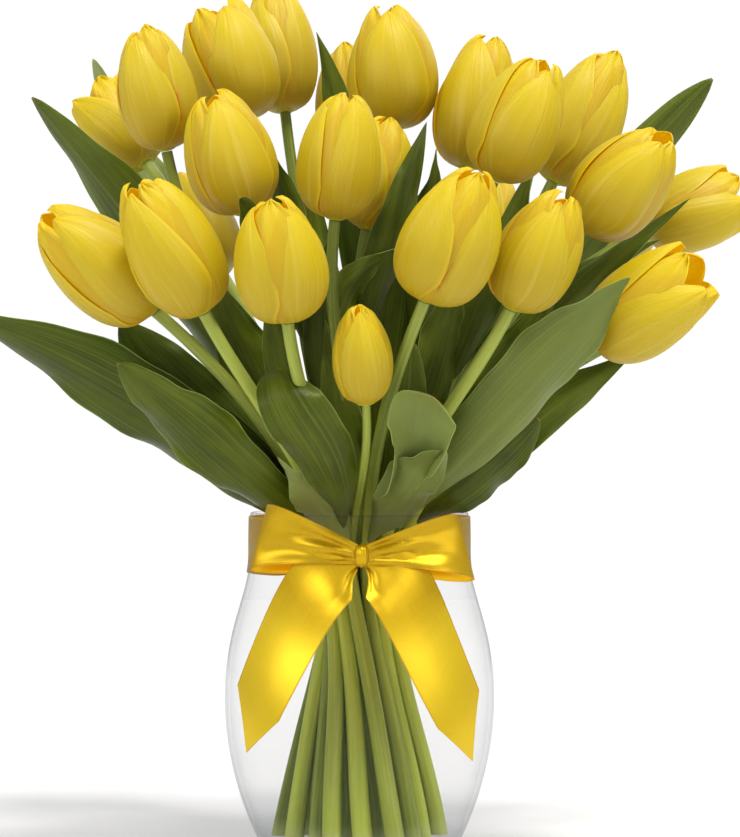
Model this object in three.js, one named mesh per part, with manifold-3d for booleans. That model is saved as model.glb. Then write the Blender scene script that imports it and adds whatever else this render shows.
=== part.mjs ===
// Yellow tulips in a clear glass vase, with a satin ribbon tied in a bow round its neck.
// Millimetres, +Z up. The origin is the middle of the flat underside of the vase, and the bow faces -Y.
// Each tulip is two meshes: its bloom, six petals on a small seat, and its stem with the leaves on it.
import * as THREE from "three";
import { mergeVertices } from "three/addons/utils/BufferGeometryUtils.js";
import Module from "manifold-3d";

const wasm = await Module();
wasm.setup();

const { PI, abs, sin, cos, asin, sqrt, min, max } = Math;
const degrees = PI / 180;
const V = (x, y, z) => new THREE.Vector3(x, y, z);
const UP = V(0, 0, 1);
const TO_FRONT = V(0, -1, 0);

// ---- Driving dimensions ----
const TOUCH_GAP = 0.3; // between pieces that rest on each other

const RIM_HEIGHT = 204;
const BELLY_RADIUS = 80.8;
const BELLY_HEIGHT = 92;
const NECK_RADIUS = 65.5;
const NECK_HEIGHT = 180; // where the wall has become upright
const FOOT_NARROWING = 20.5; // from the belly's radius down to the foot's
const FOOT_FLAT_RADIUS = 54;
const FOOT_ROUNDING = 7;
const WALL = 3;
const RIM_ROUNDING = 1;
const FLOOR_HEIGHT = 9;
const FLOOR_FLAT_RADIUS = 55;
const FLOOR_CURVE_TOP = 20; // above it the inside follows the outside
const ROUND_SIDES = 24;

const TIE_HEIGHT = 172; // the stems are drawn together here, behind the bow
const TIE_GATHERING = 0.14; // how far out a stem wants to pass the tie, as a share of its bloom's place
const STEM_SPACING = 9.8;
const STEM_RADIUS = 4; // at the tie
const FOOT_GIRTH = 1.3; // a stem's radius at its foot, as a share of that at the tie
const TOP_GIRTH = 0.9; // and under its bloom
const BUD_GIRTH = 0.7; // a bud's stem beside a full bloom's
const LEAF_SINK = 1.5; // how deep a leaf's foot lies in its stem
const PETAL_SPIN = 47 * degrees; // how far each bloom is turned on from the last
const FOOT_SPREAD = 1.9; // how much wider the stems stand at their feet than at the tie
const FOOT_REACH = 48.5; // the furthest that a foot stands from the vase's axis
const FOOT_TWIST = 42 * degrees;
const FOOT_STRAIGHT = 0.4; // how far a stem runs straight above its foot, as a share of the way to the tie
const TIE_STRAIGHT = 0.3; // below the tie
const TOP_STRAIGHT = 0.34; // and above the tie and under its bloom, as a share of the way from tie to bloom
const PUSHES = 300; // how often the stems at the tie are pushed apart
const STEM_SIDES = 5;
const LOWER_STEPS = 2;
const UPPER_STEPS = 5;

const PETAL_THICKNESS = 0.8;
const PETAL_BLUNTNESS = 4; // how late a petal starts to narrow towards its tip
const SEAT_RADIUS = 6.2;
const SEAT_HEIGHT = 8;
const PETAL_FOOT_HEIGHT = 1.2; // above the seat's underside

const LEAF_THICKNESS = 0.9;
const LEAF_ROWS = 6;
const LEAF_WAVE = 3;
const WAVES = 2.2; // from a leaf's foot to its tip
const WAVE_SHIFT = 0.37; // from one leaf to the next, in waves
const TIP_ROLL = 0.45; // how far half a blade rolls at its tip, in radians
const FOOT_ROLL = 1.7; // and how much more at its foot
const MIN_ROLL = 1e-3; // stands for a blade that is quite flat
const LEAF_POINTING = 1.3; // how slender a leaf's two ends are
const FOLD_START = 0.68; // where a leaf's tip starts to fold over, as a share of its length
const LEAF_BASE = 0.01; // how soon a leaf widens above its foot, as a share of its length

const BAND_BOTTOM = 168;
const BAND_TOP = 201.5;
const BAND_END = 0.002; // how far the band's ends lie from the knot's middle, as a share of its way round
const PINCH_ANGLE = 50 * degrees; // how far round from the knot the band has its full width
const PINCHED_SHARE = 0.4; // its width behind the knot, as a share of the full one
const RIBBON_THICKNESS = 0.9;
const RIBBON_WIDTH = 37;
const GATHERED_SHARE = 0.3; // the width of loops and tails at the knot, as a share of the ribbon's
const LOOP_FLARE = 1.04; // and of the loops at their outer folds
const OPENING = 3.2; // how fast a tail widens below the knot, per share of its length
const TAIL_CUT = 20; // how much further a tail's point reaches than its edges
const TAIL_POINT = 0.43; // how far the point lies towards the inner edge, as a share of half the width
const KNOT = V(1.5, -74.6, 181);
const KNOT_SIZE = V(6.2, 7.2, 8.4); // half its width, depth and height
const LOOPS = [
  { fold: V(-58, -53, 191), rise: 6, bulge: 13 },
  { fold: V(62, -51, 185), rise: 6, bulge: 13 },
];
const LOOP_LEAN = 0.26; // how far a loop's outer fold leans in at its top, for each millimetre of height
// A tail's line: how far it has gone round the glass from the front, how far it stands off the glass, and its
// height, as the four control points of a cubic curve.
const TAILS = [
  { inner: 1, line: [V(-2, 7, 178), V(-26, 7, 173), V(-40, 3, 128), V(-77, 4, 71)] },
  { inner: -1, line: [V(5, 7, 178), V(27, 7, 173), V(33, 3, 128), V(78, 4, 66)] },
];

// ---- The tulips: where the bloom sits on its stem, where its petals end, its width, and how far the
// petals turn over from base to tip (150 is nearly closed, 100 is open) ----
const TULIPS = [
  { name: "upright_left", seat: V(-114, -25, 418), tip: V(-128, -30, 489), width: 46, turn: 152 },
  { name: "top_left", seat: V(-67, 30, 442), tip: V(-89, 38, 511), width: 56, turn: 134 },
  { name: "top_behind", seat: V(-47, 88, 452), tip: V(-56, 102, 532), width: 47, turn: 150 },
  { name: "top_middle", seat: V(22, 35, 436), tip: V(18, 40, 511), width: 54, turn: 148 },
  { name: "peek_behind", seat: V(-3, 108, 424), tip: V(-8, 124, 498), width: 46, turn: 150 },
  { name: "right_pair_back", seat: V(64, 32, 412), tip: V(80, 40, 492), width: 51, turn: 150 },
  { name: "right_pair_front", seat: V(78, -54, 398), tip: V(108, -62, 466), width: 51, turn: 148 },
  { name: "right_back", seat: V(117, 24, 403), tip: V(155, 36, 480), width: 50, turn: 150 },
  { name: "right_shoulder", seat: V(130, -38, 370), tip: V(178, -52, 424), width: 52, turn: 145 },
  { name: "far_right_open", seat: V(176, 44, 374), tip: V(234, 50, 398), width: 50, turn: 118 },
  { name: "right_hidden", seat: V(136, 98, 356), tip: V(192, 122, 404), width: 48, turn: 148 },
  { name: "low_right_open", seat: V(136, -48, 302), tip: V(198, -64, 346), width: 54, turn: 122 },
  { name: "front_right", seat: V(37, -108, 326), tip: V(66, -132, 396), width: 55, turn: 150 },
  { name: "front_right_outer", seat: V(86, -90, 322), tip: V(116, -106, 384), width: 48, turn: 150 },
  { name: "middle", seat: V(-14, -72, 374), tip: V(-6, -84, 445), width: 48, turn: 150 },
  { name: "middle_behind", seat: V(4, -10, 372), tip: V(17, -8, 438), width: 44, turn: 152 },
  { name: "left_middle", seat: V(-66, -58, 378), tip: V(-84, -70, 446), width: 51, turn: 146 },
  { name: "front_left", seat: V(-40, -112, 314), tip: V(-48, -136, 380), width: 51, turn: 150 },
  { name: "left_front", seat: V(-88, -92, 320), tip: V(-124, -118, 391), width: 52, turn: 150 },
  { name: "far_left", seat: V(-118, -58, 322), tip: V(-181, -78, 377), width: 54, turn: 150 },
  { name: "left_behind", seat: V(-132, 62, 418), tip: V(-166, 80, 464), width: 48, turn: 116 },
  { name: "front_bud", seat: V(4, -96, 268), tip: V(0, -116, 322), width: 34, turn: 158, slim: true },
  { name: "back_left", seat: V(-88, 110, 352), tip: V(-124, 140, 414), width: 48, turn: 148 },
  { name: "back_right", seat: V(66, 118, 350), tip: V(92, 154, 414), width: 48, turn: 150 },
];

// ---- The leaves: the tulip that carries it and how high up its stem it starts, a point in the middle of
// its rib, its tip, its width, the compass direction its outer face turns to, from +X through +Y, and where
// it is widest as a share of its length, if that isn't a little below the middle. Some tips fold over, so far
// forward of the outer face, or back where it is negative. One blade furls into a trumpet, by an angle in
// radians that takes its edges forward ----
const LEAVES = [
  { on: "far_left", from: 186, via: V(-116, -34, 260), tip: V(-234, -46, 322),
    width: 54, faces: 235, widest: 0.55 },
  { on: "left_front", from: 182, via: V(-88, -54, 244), tip: V(-140, -66, 292),
    width: 42, faces: 240, widest: 0.55 },
  { on: "far_left", from: 200, via: V(-96, -14, 264), tip: V(-142, -20, 318),
    width: 46, faces: 245, widest: 0.55 },
  { on: "left_behind", from: 235, via: V(-114, 12, 350), tip: V(-198, 8, 454),
    width: 42, faces: 255, widest: 0.6 },
  { on: "back_left", from: 235, via: V(-121, 84, 374), tip: V(-172, 134, 492),
    width: 40, faces: 130, widest: 0.65 },
  { on: "right_hidden", from: 260, via: V(132, 66, 368), tip: V(222, 85, 474),
    width: 40, faces: 300, widest: 0.6 },
  { on: "right_shoulder", from: 240, via: V(105, -12, 312), tip: V(198, -10, 392), width: 26, faces: 290 },
  { on: "front_right_outer", from: 193, via: V(102, -73, 285), tip: V(154, -98, 340),
    width: 44, faces: 285, widest: 0.5 },
  { on: "low_right_open", from: 195, via: V(98, -18, 256), tip: V(164, -22, 299), width: 34, faces: 280 },
  { on: "low_right_open", from: 197, via: V(68, -28, 226), tip: V(106, -36, 260),
    width: 38, faces: 290, widest: 0.6 },
  { on: "front_left", from: 192, via: V(-21, -85, 239), tip: V(-60, -114, 290),
    width: 40, faces: 258, widest: 0.7, fold: -18 },
  { on: "front_left", from: 178, via: V(-24, -46, 208), tip: V(-44, -68, 238), width: 28, faces: 256 },
  { on: "front_left", from: 197, via: V(-16, -48, 212), tip: V(-30, -72, 246), width: 22, faces: 265 },
  { on: "front_right", from: 200, via: V(33, -70, 240), tip: V(37, -94, 288),
    width: 46, faces: 276, widest: 0.8, fold: 10, furl: 2.4 },
  { on: "right_pair_front", from: 200, via: V(23, -41, 245), tip: V(31, -59, 306),
    width: 30, faces: 275, widest: 0.6, fold: -6 },
  { on: "front_right", from: 186, via: V(26, -60, 216), tip: V(50, -82, 248),
    width: 32, faces: 275, widest: 0.6, fold: 6 },
  { on: "far_right_open", from: 260, via: V(108, 18, 325), tip: V(182, 10, 368), width: 28, faces: 290 },
  { on: "middle", from: 270, via: V(-12, -34, 325), tip: V(22, -38, 360), width: 26, faces: 275 },
  { on: "middle", from: 240, via: V(-22, -44, 312), tip: V(-12, -46, 372), width: 26, faces: 262 },
  { on: "middle_behind", from: 290, via: V(20, -36, 372), tip: V(40, -22, 436), width: 24, faces: 290 },
  { on: "right_pair_back", from: 300, via: V(42, 4, 365), tip: V(46, 0, 422), width: 24, faces: 280 },
  { on: "peek_behind", from: 300, via: V(-6, 58, 410), tip: V(-27, 60, 500), width: 28, faces: 270 },
  { on: "right_back", from: 280, via: V(82, -5, 350), tip: V(102, -8, 410), width: 24, faces: 270 },
  { on: "left_middle", from: 300, via: V(-52, -76, 345), tip: V(-70, -100, 400),
    width: 28, faces: 262, fold: 10 },
  { on: "top_left", from: 290, via: V(-38, -8, 360), tip: V(-52, -15, 420), width: 28, faces: 270 },
  { on: "upright_left", from: 215, via: V(-62, -12, 285), tip: V(-88, -22, 345), width: 42, faces: 255 },
  { on: "left_middle", from: 220, via: V(-41, -41, 270), tip: V(-54, -60, 330), width: 27, faces: 260 },
  { on: "middle", from: 205, via: V(-10, -38, 262), tip: V(-20, -58, 318), width: 26, faces: 268 },
  { on: "right_pair_front", from: 225, via: V(45, -32, 290), tip: V(60, -52, 350), width: 32, faces: 280 },
  { on: "right_shoulder", from: 230, via: V(86, -36, 290), tip: V(114, -50, 338), width: 30, faces: 290 },
  { on: "back_left", from: 186, via: V(-60, 66, 260), tip: V(-116, 114, 318), width: 34, faces: 122 },
  { on: "peek_behind", from: 186, via: V(-12, 75, 270), tip: V(-25, 130, 335), width: 38, faces: 95 },
  { on: "back_right", from: 212, via: V(50, 72, 262), tip: V(98, 128, 322), width: 36, faces: 65 },
  { on: "far_right_open", from: 186, via: V(92, 28, 258), tip: V(165, 52, 310), width: 36, faces: 10 },
  { on: "left_behind", from: 186, via: V(-92, 14, 262), tip: V(-156, 30, 330), width: 32, faces: 175 },
  { on: "right_hidden", from: 280, via: V(88, 82, 345), tip: V(112, 104, 425), width: 28, faces: 60 },
  { on: "middle_behind", from: 205, via: V(4, -8, 280), tip: V(-6, -2, 352), width: 38, faces: 270 },
  { on: "top_middle", from: 230, via: V(16, 14, 318), tip: V(36, 16, 396), width: 36, faces: 275 },
  { on: "top_behind", from: 240, via: V(-24, 34, 330), tip: V(-34, 40, 424), width: 34, faces: 262 },
];

// ---- Shared building blocks ----

// The closed solid of an indexed list of corners and triangles.
function solidFrom(corners, triangles) {
  const vertProperties = new Float32Array(corners.flatMap((p) => [p.x, p.y, p.z]));
  const triVerts = new Uint32Array(triangles);
  return new wasm.Manifold(new wasm.Mesh({ numProp: 3, vertProperties, triVerts }));
}

function solidOf(geometry) {
  const bare = geometry.index ? geometry.toNonIndexed() : geometry.clone();
  bare.deleteAttribute("normal");
  bare.deleteAttribute("uv");
  const { attributes, index } = mergeVertices(bare, 1e-4);
  const triVerts = new Uint32Array(index.array);
  const vertProperties = attributes.position.array;
  return new wasm.Manifold(new wasm.Mesh({ numProp: 3, vertProperties, triVerts }));
}

// Joined solids as one body: a pocket sealed between two petals is filled, and a loose sliver is dropped.
function joined(solids) {
  const bodies = wasm.Manifold.union(solids).decompose();
  return bodies.reduce((largest, body) => (body.volume() > largest.volume() ? body : largest));
}

function meshOf(name, solid, material) {
  const { vertProperties, triVerts } = solid.getMesh();
  const geometry = new THREE.BufferGeometry();
  geometry.setAttribute("position", new THREE.Float32BufferAttribute(vertProperties, 3));
  geometry.setIndex(new THREE.BufferAttribute(triVerts, 1));
  geometry.computeVertexNormals();
  const mesh = new THREE.Mesh(geometry, material);
  mesh.name = name;
  return mesh;
}

// A thin closed blade on both sides of surface(across, along): across runs from -1 to 1, along from 0 to 1,
// and the last row meets in a point. Its faces are split alike, so it keeps its thickness.
function blade(surface, columns, rows, thickness) {
  const step = 1e-3;
  const corners = [];
  const put = (across, along) => {
    const inside = min(along, 1 - 2 * step);
    const middle = surface(across, along);
    const sideways = surface(across + step, inside).sub(surface(across - step, inside));
    const upward = surface(across, inside + step).sub(surface(across, max(inside - step, 0)));
    const half = sideways.cross(upward).normalize().multiplyScalar(thickness / 2);
    corners.push(middle.clone().add(half), middle.clone().sub(half));
  };
  for (let row = 0; row < rows; row++)
    for (let column = 0; column <= columns; column++) put((2 * column) / columns - 1, row / rows);
  put(0, 1);
  const tip = 2 * rows * (columns + 1);
  const front = (row, column) => (row === rows ? tip : 2 * (row * (columns + 1) + column));
  const triangles = [];
  const quad = (a, b, c, d) => triangles.push(a, b, c, a, c, d);
  for (let column = 0; column < columns; column++) {
    for (let row = 0; row < rows - 1; row++) {
      const ring = [[row, column], [row, column + 1], [row + 1, column + 1], [row + 1, column]];
      const [a, b, c, d] = ring.map(([i, j]) => front(i, j));
      quad(a, b, c, d);
      triangles.push(a + 1, c + 1, b + 1, a + 1, d + 1, c + 1);
    }
    const a = front(rows - 1, column);
    const b = front(rows - 1, column + 1);
    triangles.push(a, b, tip, a + 1, tip + 1, b + 1);
    const [p, q] = [front(0, column), front(0, column + 1)];
    quad(p, p + 1, q + 1, q);
  }
  for (let row = 0; row < rows; row++) {
    const [a, b] = [front(row, 0), front(row + 1, 0)];
    quad(a, b, b + 1, a + 1);
    const [c, d] = [front(row, columns), front(row + 1, columns)];
    quad(c, c + 1, d + 1, d);
  }
  return solidFrom(corners, triangles);
}

// A round rod through a list of { at, along, radius }: its foot is cut level, its top square to the stem.
function rod(stations, sides) {
  const corners = [];
  const start = stations[0];
  let sideways = V(1, 0, 0);
  stations.forEach(({ at, along, radius }, index) => {
    sideways = sideways.clone().addScaledVector(along, -sideways.dot(along)).normalize();
    const across = along.clone().cross(sideways);
    for (let side = 0; side < sides; side++) {
      const angle = (2 * PI * side) / sides;
      const offset = sideways.clone().multiplyScalar(radius * cos(angle));
      offset.addScaledVector(across, radius * sin(angle));
      if (index === 0) offset.addScaledVector(along, -offset.z / along.z);
      corners.push(at.clone().add(offset));
    }
  });
  const last = stations.length - 1;
  corners.push(start.at.clone(), stations[last].at.clone());
  const [footMiddle, topMiddle] = [sides * stations.length, sides * stations.length + 1];
  const triangles = [];
  for (let side = 0; side < sides; side++) {
    const next = (side + 1) % sides;
    for (let ring = 0; ring < last; ring++) {
      const [a, b] = [ring * sides + side, ring * sides + next];
      triangles.push(a, b, b + sides, a, b + sides, a + sides);
    }
    triangles.push(footMiddle, next, side);
    triangles.push(topMiddle, last * sides + side, last * sides + next);
  }
  return solidFrom(corners, triangles);
}

// ---- The vase ----

// Outer radius of the glass at a height: a bowl that swells to the belly, then draws in to an upright neck.
function vaseRadius(height) {
  if (height < BELLY_HEIGHT) {
    return BELLY_RADIUS - FOOT_NARROWING * ((BELLY_HEIGHT - height) / (BELLY_HEIGHT - FOOT_ROUNDING)) ** 2;
  }
  const climb = min((height - BELLY_HEIGHT) / (NECK_HEIGHT - BELLY_HEIGHT), 1) ** 1.3;
  return BELLY_RADIUS - (BELLY_RADIUS - NECK_RADIUS) * climb * climb * (3 - 2 * climb);
}

const spread = (count) => Array.from({ length: count }, (_, index) => index / (count - 1));

// Heights at which both the neck and the ribbon round it are shaped, so that they fit each other.
const bandHeights = () => spread(3).map((share) => BAND_BOTTOM + share * (BAND_TOP - BAND_BOTTOM));

function vaseProfile() {
  const point = (radius, height) => new THREE.Vector2(radius, height);
  const quarter = [PI / 4, PI / 2];
  const corner = vaseRadius(FOOT_ROUNDING);
  const foot = quarter.map((turn) => {
    const radius = FOOT_FLAT_RADIUS + (corner - FOOT_FLAT_RADIUS) * sin(turn);
    return point(radius, FOOT_ROUNDING * (1 - cos(turn)));
  });
  const rise = BAND_BOTTOM - FOOT_ROUNDING;
  const heights = spread(7).slice(1, -1).map((share) => FOOT_ROUNDING + share * rise);
  const levels = [...heights, ...bandHeights(), RIM_HEIGHT - RIM_ROUNDING];
  const outside = levels.map((height) => point(vaseRadius(height), height));
  const rim = [
    point(NECK_RADIUS - RIM_ROUNDING, RIM_HEIGHT),
    point(NECK_RADIUS - WALL + RIM_ROUNDING, RIM_HEIGHT),
  ];
  const inside = spread(6).map((share) => {
    const height = RIM_HEIGHT - RIM_ROUNDING + share * (FLOOR_CURVE_TOP - RIM_HEIGHT + RIM_ROUNDING);
    return point(vaseRadius(height) - WALL, height);
  });
  const hollow = vaseRadius(FLOOR_CURVE_TOP) - WALL - FLOOR_FLAT_RADIUS;
  const drop = FLOOR_CURVE_TOP - FLOOR_HEIGHT;
  const floor = quarter.map((turn) => {
    return point(FLOOR_FLAT_RADIUS + hollow * cos(turn), FLOOR_CURVE_TOP - drop * sin(turn));
  });
  const underside = [point(0, 0), point(FOOT_FLAT_RADIUS, 0)];
  return [...underside, ...foot, ...outside, ...rim, ...inside, ...floor, point(0, FLOOR_HEIGHT)];
}

// A profile of radius and height turned about the vase's axis.
function turned(profile) {
  return solidOf(new THREE.LatheGeometry(profile, ROUND_SIDES).rotateX(PI / 2));
}

// ---- The stems ----

// Where each stem passes the tie: drawn in under its bloom, then pushed apart until all fit side by side.
function placesAtTie() {
  const places = TULIPS.map(({ seat }) => new THREE.Vector2(seat.x, seat.y).multiplyScalar(TIE_GATHERING));
  for (let round = 0; round < PUSHES; round++) {
    places.forEach((place, index) => places.slice(index + 1).forEach((other) => {
      const apart = place.clone().sub(other);
      const missing = STEM_SPACING - apart.length();
      if (missing <= 0) return;
      apart.setLength(missing / 2);
      place.add(apart);
      other.sub(apart);
    }));
  }
  return places;
}

// A stem's centre line, in a lower part from its foot on the vase's floor to the tie and an upper part from
// there to its bloom.
function stemLine(tulip, place) {
  const foot2 = place.clone().multiplyScalar(FOOT_SPREAD).rotateAround(new THREE.Vector2(), FOOT_TWIST);
  foot2.clampLength(0, FOOT_REACH);
  const foot = V(foot2.x, foot2.y, FLOOR_HEIGHT + TOUCH_GAP);
  const tie = V(place.x, place.y, TIE_HEIGHT);
  const axis = tulip.tip.clone().sub(tulip.seat).normalize();
  const top = tulip.seat.clone();
  const reach = top.distanceTo(tie);
  const below = tie.clone().sub(foot).normalize();
  const above = top.clone().sub(tie).normalize();
  const through = below.add(above).add(UP).normalize();
  const lower = new THREE.CubicBezierCurve3(
    foot,
    foot.clone().lerp(tie, FOOT_STRAIGHT),
    tie.clone().addScaledVector(through, -TIE_STRAIGHT * (TIE_HEIGHT - FLOOR_HEIGHT)),
    tie,
  );
  const upper = new THREE.CubicBezierCurve3(
    tie,
    tie.clone().addScaledVector(through, TOP_STRAIGHT * reach),
    top.clone().addScaledVector(axis, -TOP_STRAIGHT * reach),
    top,
  );
  return { lower, upper };
}

function stemStations({ lower, upper }, slim) {
  const girth = slim ? BUD_GIRTH : 1;
  const station = (curve, share, radius) => ({
    at: curve.getPoint(share),
    along: curve.getTangent(share),
    radius: radius * girth,
  });
  const below = spread(LOWER_STEPS + 1).map((share) => {
    return station(lower, share, STEM_RADIUS * (FOOT_GIRTH + (1 - FOOT_GIRTH) * share));
  });
  const above = spread(UPPER_STEPS + 1).slice(1).map((share) => {
    return station(upper, share, STEM_RADIUS * (1 + (TOP_GIRTH - 1) * share));
  });
  return [...below, ...above];
}

// ---- The leaves ----

// The point of a rising curve at a height.
function pointAtHeight(curve, height) {
  let [low, high] = [0, 1];
  for (let halving = 0; halving < 30; halving++) {
    const middle = (low + high) / 2;
    if (curve.getPoint(middle).z < height) low = middle;
    else high = middle;
  }
  return curve.getPoint(low);
}

// A leaf's rib arches from its stem through its middle point to its tip. The blade curls back round the
// stem at its foot, opens towards the tip, and its edges wave in and out.
function leafSurface({ from, via, tip, width, faces, widest = 0.42, fold = 0, furl = 0 }, line, index) {
  const outward = V(cos(faces * degrees), sin(faces * degrees), 0);
  const foot = pointAtHeight(line.upper, from).addScaledVector(outward, STEM_RADIUS - LEAF_SINK);
  const bend = via.clone().multiplyScalar(2).addScaledVector(foot, -0.5).addScaledVector(tip, -0.5);
  const rib = new THREE.QuadraticBezierCurve3(foot, bend, tip);
  const level = tip.clone().sub(foot).cross(outward).normalize();
  return (u, v) => {
    const way = rib.getTangent(v);
    const side = level.clone().addScaledVector(way, -level.dot(way)).normalize();
    const normal = side.clone().cross(way);
    const towardsTip = ((1 - v) / (1 - widest)) ** (LEAF_POINTING * (1 - widest));
    const towardsFoot = ((v + LEAF_BASE) / (widest + LEAF_BASE)) ** (LEAF_POINTING * widest);
    const half = (width / 2) * towardsTip * towardsFoot;
    const forward = furl * sin((PI / 2) * min(3 * v, 1)) * (1.4 - v);
    const curl = TIP_ROLL + FOOT_ROLL * (1 - v) ** 4 - forward || MIN_ROLL;
    const wave = LEAF_WAVE * u * u * sin(PI * v) * sin(2 * PI * (WAVES * v + WAVE_SHIFT * index) + u);
    const folded = max((v - FOLD_START) / (1 - FOLD_START), 0) ** 2;
    return rib.getPoint(v)
      .addScaledVector(outward, fold * folded)
      .addScaledVector(UP, -abs(fold) * folded)
      .addScaledVector(side, (half / curl) * sin(u * curl))
      .addScaledVector(normal, wave - (half / curl) * (1 - cos(u * curl)));
  };
}

function leafSolids(name, line) {
  return LEAVES.flatMap((leaf, index) => {
    if (leaf.on !== name) return [];
    return [blade(leafSurface(leaf, line, index), 2, LEAF_ROWS, LEAF_THICKNESS)];
  });
}

// ---- The blooms ----

// The two rings of three petals: how far from the axis they start, their length and radius as shares of the
// bloom's, and in degrees half their width and how far they are turned.
const RINGS = {
  outer: { footRadius: 4.6, length: 1, radius: 1, half: 58, turned: 0, columns: 2, rows: 4 },
  inner: { footRadius: 2.4, length: 0.97, radius: 0.76, half: 54, turned: 60, columns: 2, rows: 2 },
};

// Six petals in two rings of three. A petal follows the cup: it leaves the axis, swells to the bloom's
// widest and turns back in by the bloom's turn, and its outline narrows to a rounded point, towards which
// its rows lie closer together.
function petalSurface({ seat, tip, width, turn }, ring, number, spin) {
  const length = tip.distanceTo(seat) * ring.length;
  const radius = (width / 2) * ring.radius;
  const facing = spin + (number * 120 + ring.turned) * degrees;
  const start = asin(ring.footRadius / radius);
  const end = turn * degrees;
  const axis = tip.clone().sub(seat).normalize();
  const sideways = V(1, 0, 0).addScaledVector(axis, -axis.x).normalize();
  const across = axis.clone().cross(sideways);
  return (u, row) => {
    const v = 1 - (1 - row) ** 1.5;
    const bend = start + (end - start) * v;
    const out = radius * sin(bend) * (1 + 0.04 * u);
    const climb = length * ((1 - cos(bend)) / (1 - cos(end))) ** 1.3;
    const outline = sqrt(max(1 - v ** PETAL_BLUNTNESS, 0)) * min(0.5 + 1.3 * v, 1);
    const angle = facing + u * ring.half * degrees * outline;
    return seat.clone()
      .addScaledVector(axis, climb + TOUCH_GAP + PETAL_FOOT_HEIGHT)
      .addScaledVector(sideways, out * cos(angle))
      .addScaledVector(across, out * sin(angle));
  };
}

// The small rounded seat that the six petals grow from, at the very top of the stem.
function seatSolid({ seat, tip }) {
  const profile = [[0, 0], [SEAT_RADIUS, 0], [0, SEAT_HEIGHT]];
  const dome = new THREE.LatheGeometry(profile.map(([r, z]) => new THREE.Vector2(r, z + TOUCH_GAP)), 6);
  const axis = tip.clone().sub(seat).normalize();
  dome.applyQuaternion(new THREE.Quaternion().setFromUnitVectors(V(0, 1, 0), axis));
  dome.translate(seat.x, seat.y, seat.z);
  return solidOf(dome);
}

function bloomSolid(tulip, index) {
  const spin = index * PETAL_SPIN;
  const petals = [RINGS.outer, RINGS.inner].flatMap((ring) => [0, 1, 2].map((number) => {
    const surface = petalSurface(tulip, ring, number, spin);
    return blade(surface, ring.columns, ring.rows, PETAL_THICKNESS);
  }));
  return joined([seatSolid(tulip), ...petals]);
}

// ---- The ribbon ----

// A strip of even thickness on both sides of surface(across, along), closed at its two cut ends.
function strip(surface, columns, rows, thickness) {
  const step = 1e-3;
  const corners = [];
  for (let row = 0; row <= rows; row++) {
    for (let column = 0; column <= columns; column++) {
      const across = (2 * column) / columns - 1;
      const along = row / rows;
      const sideways = surface(across + step, along).sub(surface(across - step, along));
      const upward = surface(across, min(along + step, 1)).sub(surface(across, max(along - step, 0)));
      const half = sideways.cross(upward).normalize().multiplyScalar(thickness / 2);
      const middle = surface(across, along);
      corners.push(middle.clone().add(half), middle.clone().sub(half));
    }
  }
  const at = (row, column) => 2 * (row * (columns + 1) + column);
  const triangles = [];
  const quad = (a, b, c, d) => triangles.push(a, b, c, a, c, d);
  for (let row = 0; row < rows; row++) {
    for (let column = 0; column < columns; column++) {
      const [a, b] = [at(row, column), at(row, column + 1)];
      const [d, c] = [at(row + 1, column), at(row + 1, column + 1)];
      quad(a, b, c, d);
      triangles.push(a + 1, c + 1, b + 1, a + 1, d + 1, c + 1);
    }
    const [left, right] = [at(row, 0), at(row, columns)];
    const [leftAbove, rightAbove] = [at(row + 1, 0), at(row + 1, columns)];
    quad(left, leftAbove, leftAbove + 1, left + 1);
    quad(right, right + 1, rightAbove + 1, rightAbove);
  }
  for (let column = 0; column < columns; column++) {
    const [a, b, c, d] = [at(0, column), at(0, column + 1), at(rows, column), at(rows, column + 1)];
    quad(a, a + 1, b + 1, b);
    quad(c, d, d + 1, c + 1);
  }
  return solidFrom(corners, triangles);
}

// The glass's radius as its flat faces have it, at a height within the band.
function neckRadius(height) {
  const [low, middle, high] = bandHeights();
  const [from, to] = height < middle ? [low, middle] : [middle, high];
  const share = (height - from) / (to - from);
  return vaseRadius(from) + share * (vaseRadius(to) - vaseRadius(from));
}

// The band runs once round the neck, over the same corners as the glass, from the knot to the knot, where it
// is drawn together.
function bandSolid() {
  const middle = (BAND_BOTTOM + BAND_TOP) / 2;
  const surface = (across, along) => {
    const turn = 2 * PI * min(max(along, BAND_END), 1 - BAND_END);
    const fromKnot = min(turn, 2 * PI - turn);
    const open = sin((PI / 2) * min(fromKnot / PINCH_ANGLE, 1)) ** 2;
    const half = ((BAND_TOP - BAND_BOTTOM) / 2) * (PINCHED_SHARE + (1 - PINCHED_SHARE) * open);
    const height = KNOT.z + (middle - KNOT.z) * open + across * half;
    const radius = neckRadius(height) + TOUCH_GAP + RIBBON_THICKNESS / 2;
    return V(radius * sin(turn), -radius * cos(turn), height);
  };
  return strip(surface, 2, ROUND_SIDES, RIBBON_THICKNESS);
}

// One loop of the bow: the ribbon leaves the gathered knot, bulges forward on its way out, turns back at its
// outer fold and returns straight behind itself.
function loopSolid({ fold, rise, bulge }) {
  const surface = (across, along) => {
    const out = sin(PI * along);
    const front = sin(2 * PI * along);
    const half = (RIBBON_WIDTH / 2) * (GATHERED_SHARE + (LOOP_FLARE - GATHERED_SHARE) * out);
    const lean = V(-LOOP_LEAN * Math.sign(fold.x) * out, 0, 1).normalize();
    return KNOT.clone().lerp(fold, out)
      .addScaledVector(UP, (rise * front) / 2)
      .addScaledVector(TO_FRONT, (bulge * (front + out)) / 2)
      .addScaledVector(lean, across * half);
  };
  return strip(surface, 2, 10, RIBBON_THICKNESS);
}

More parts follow.
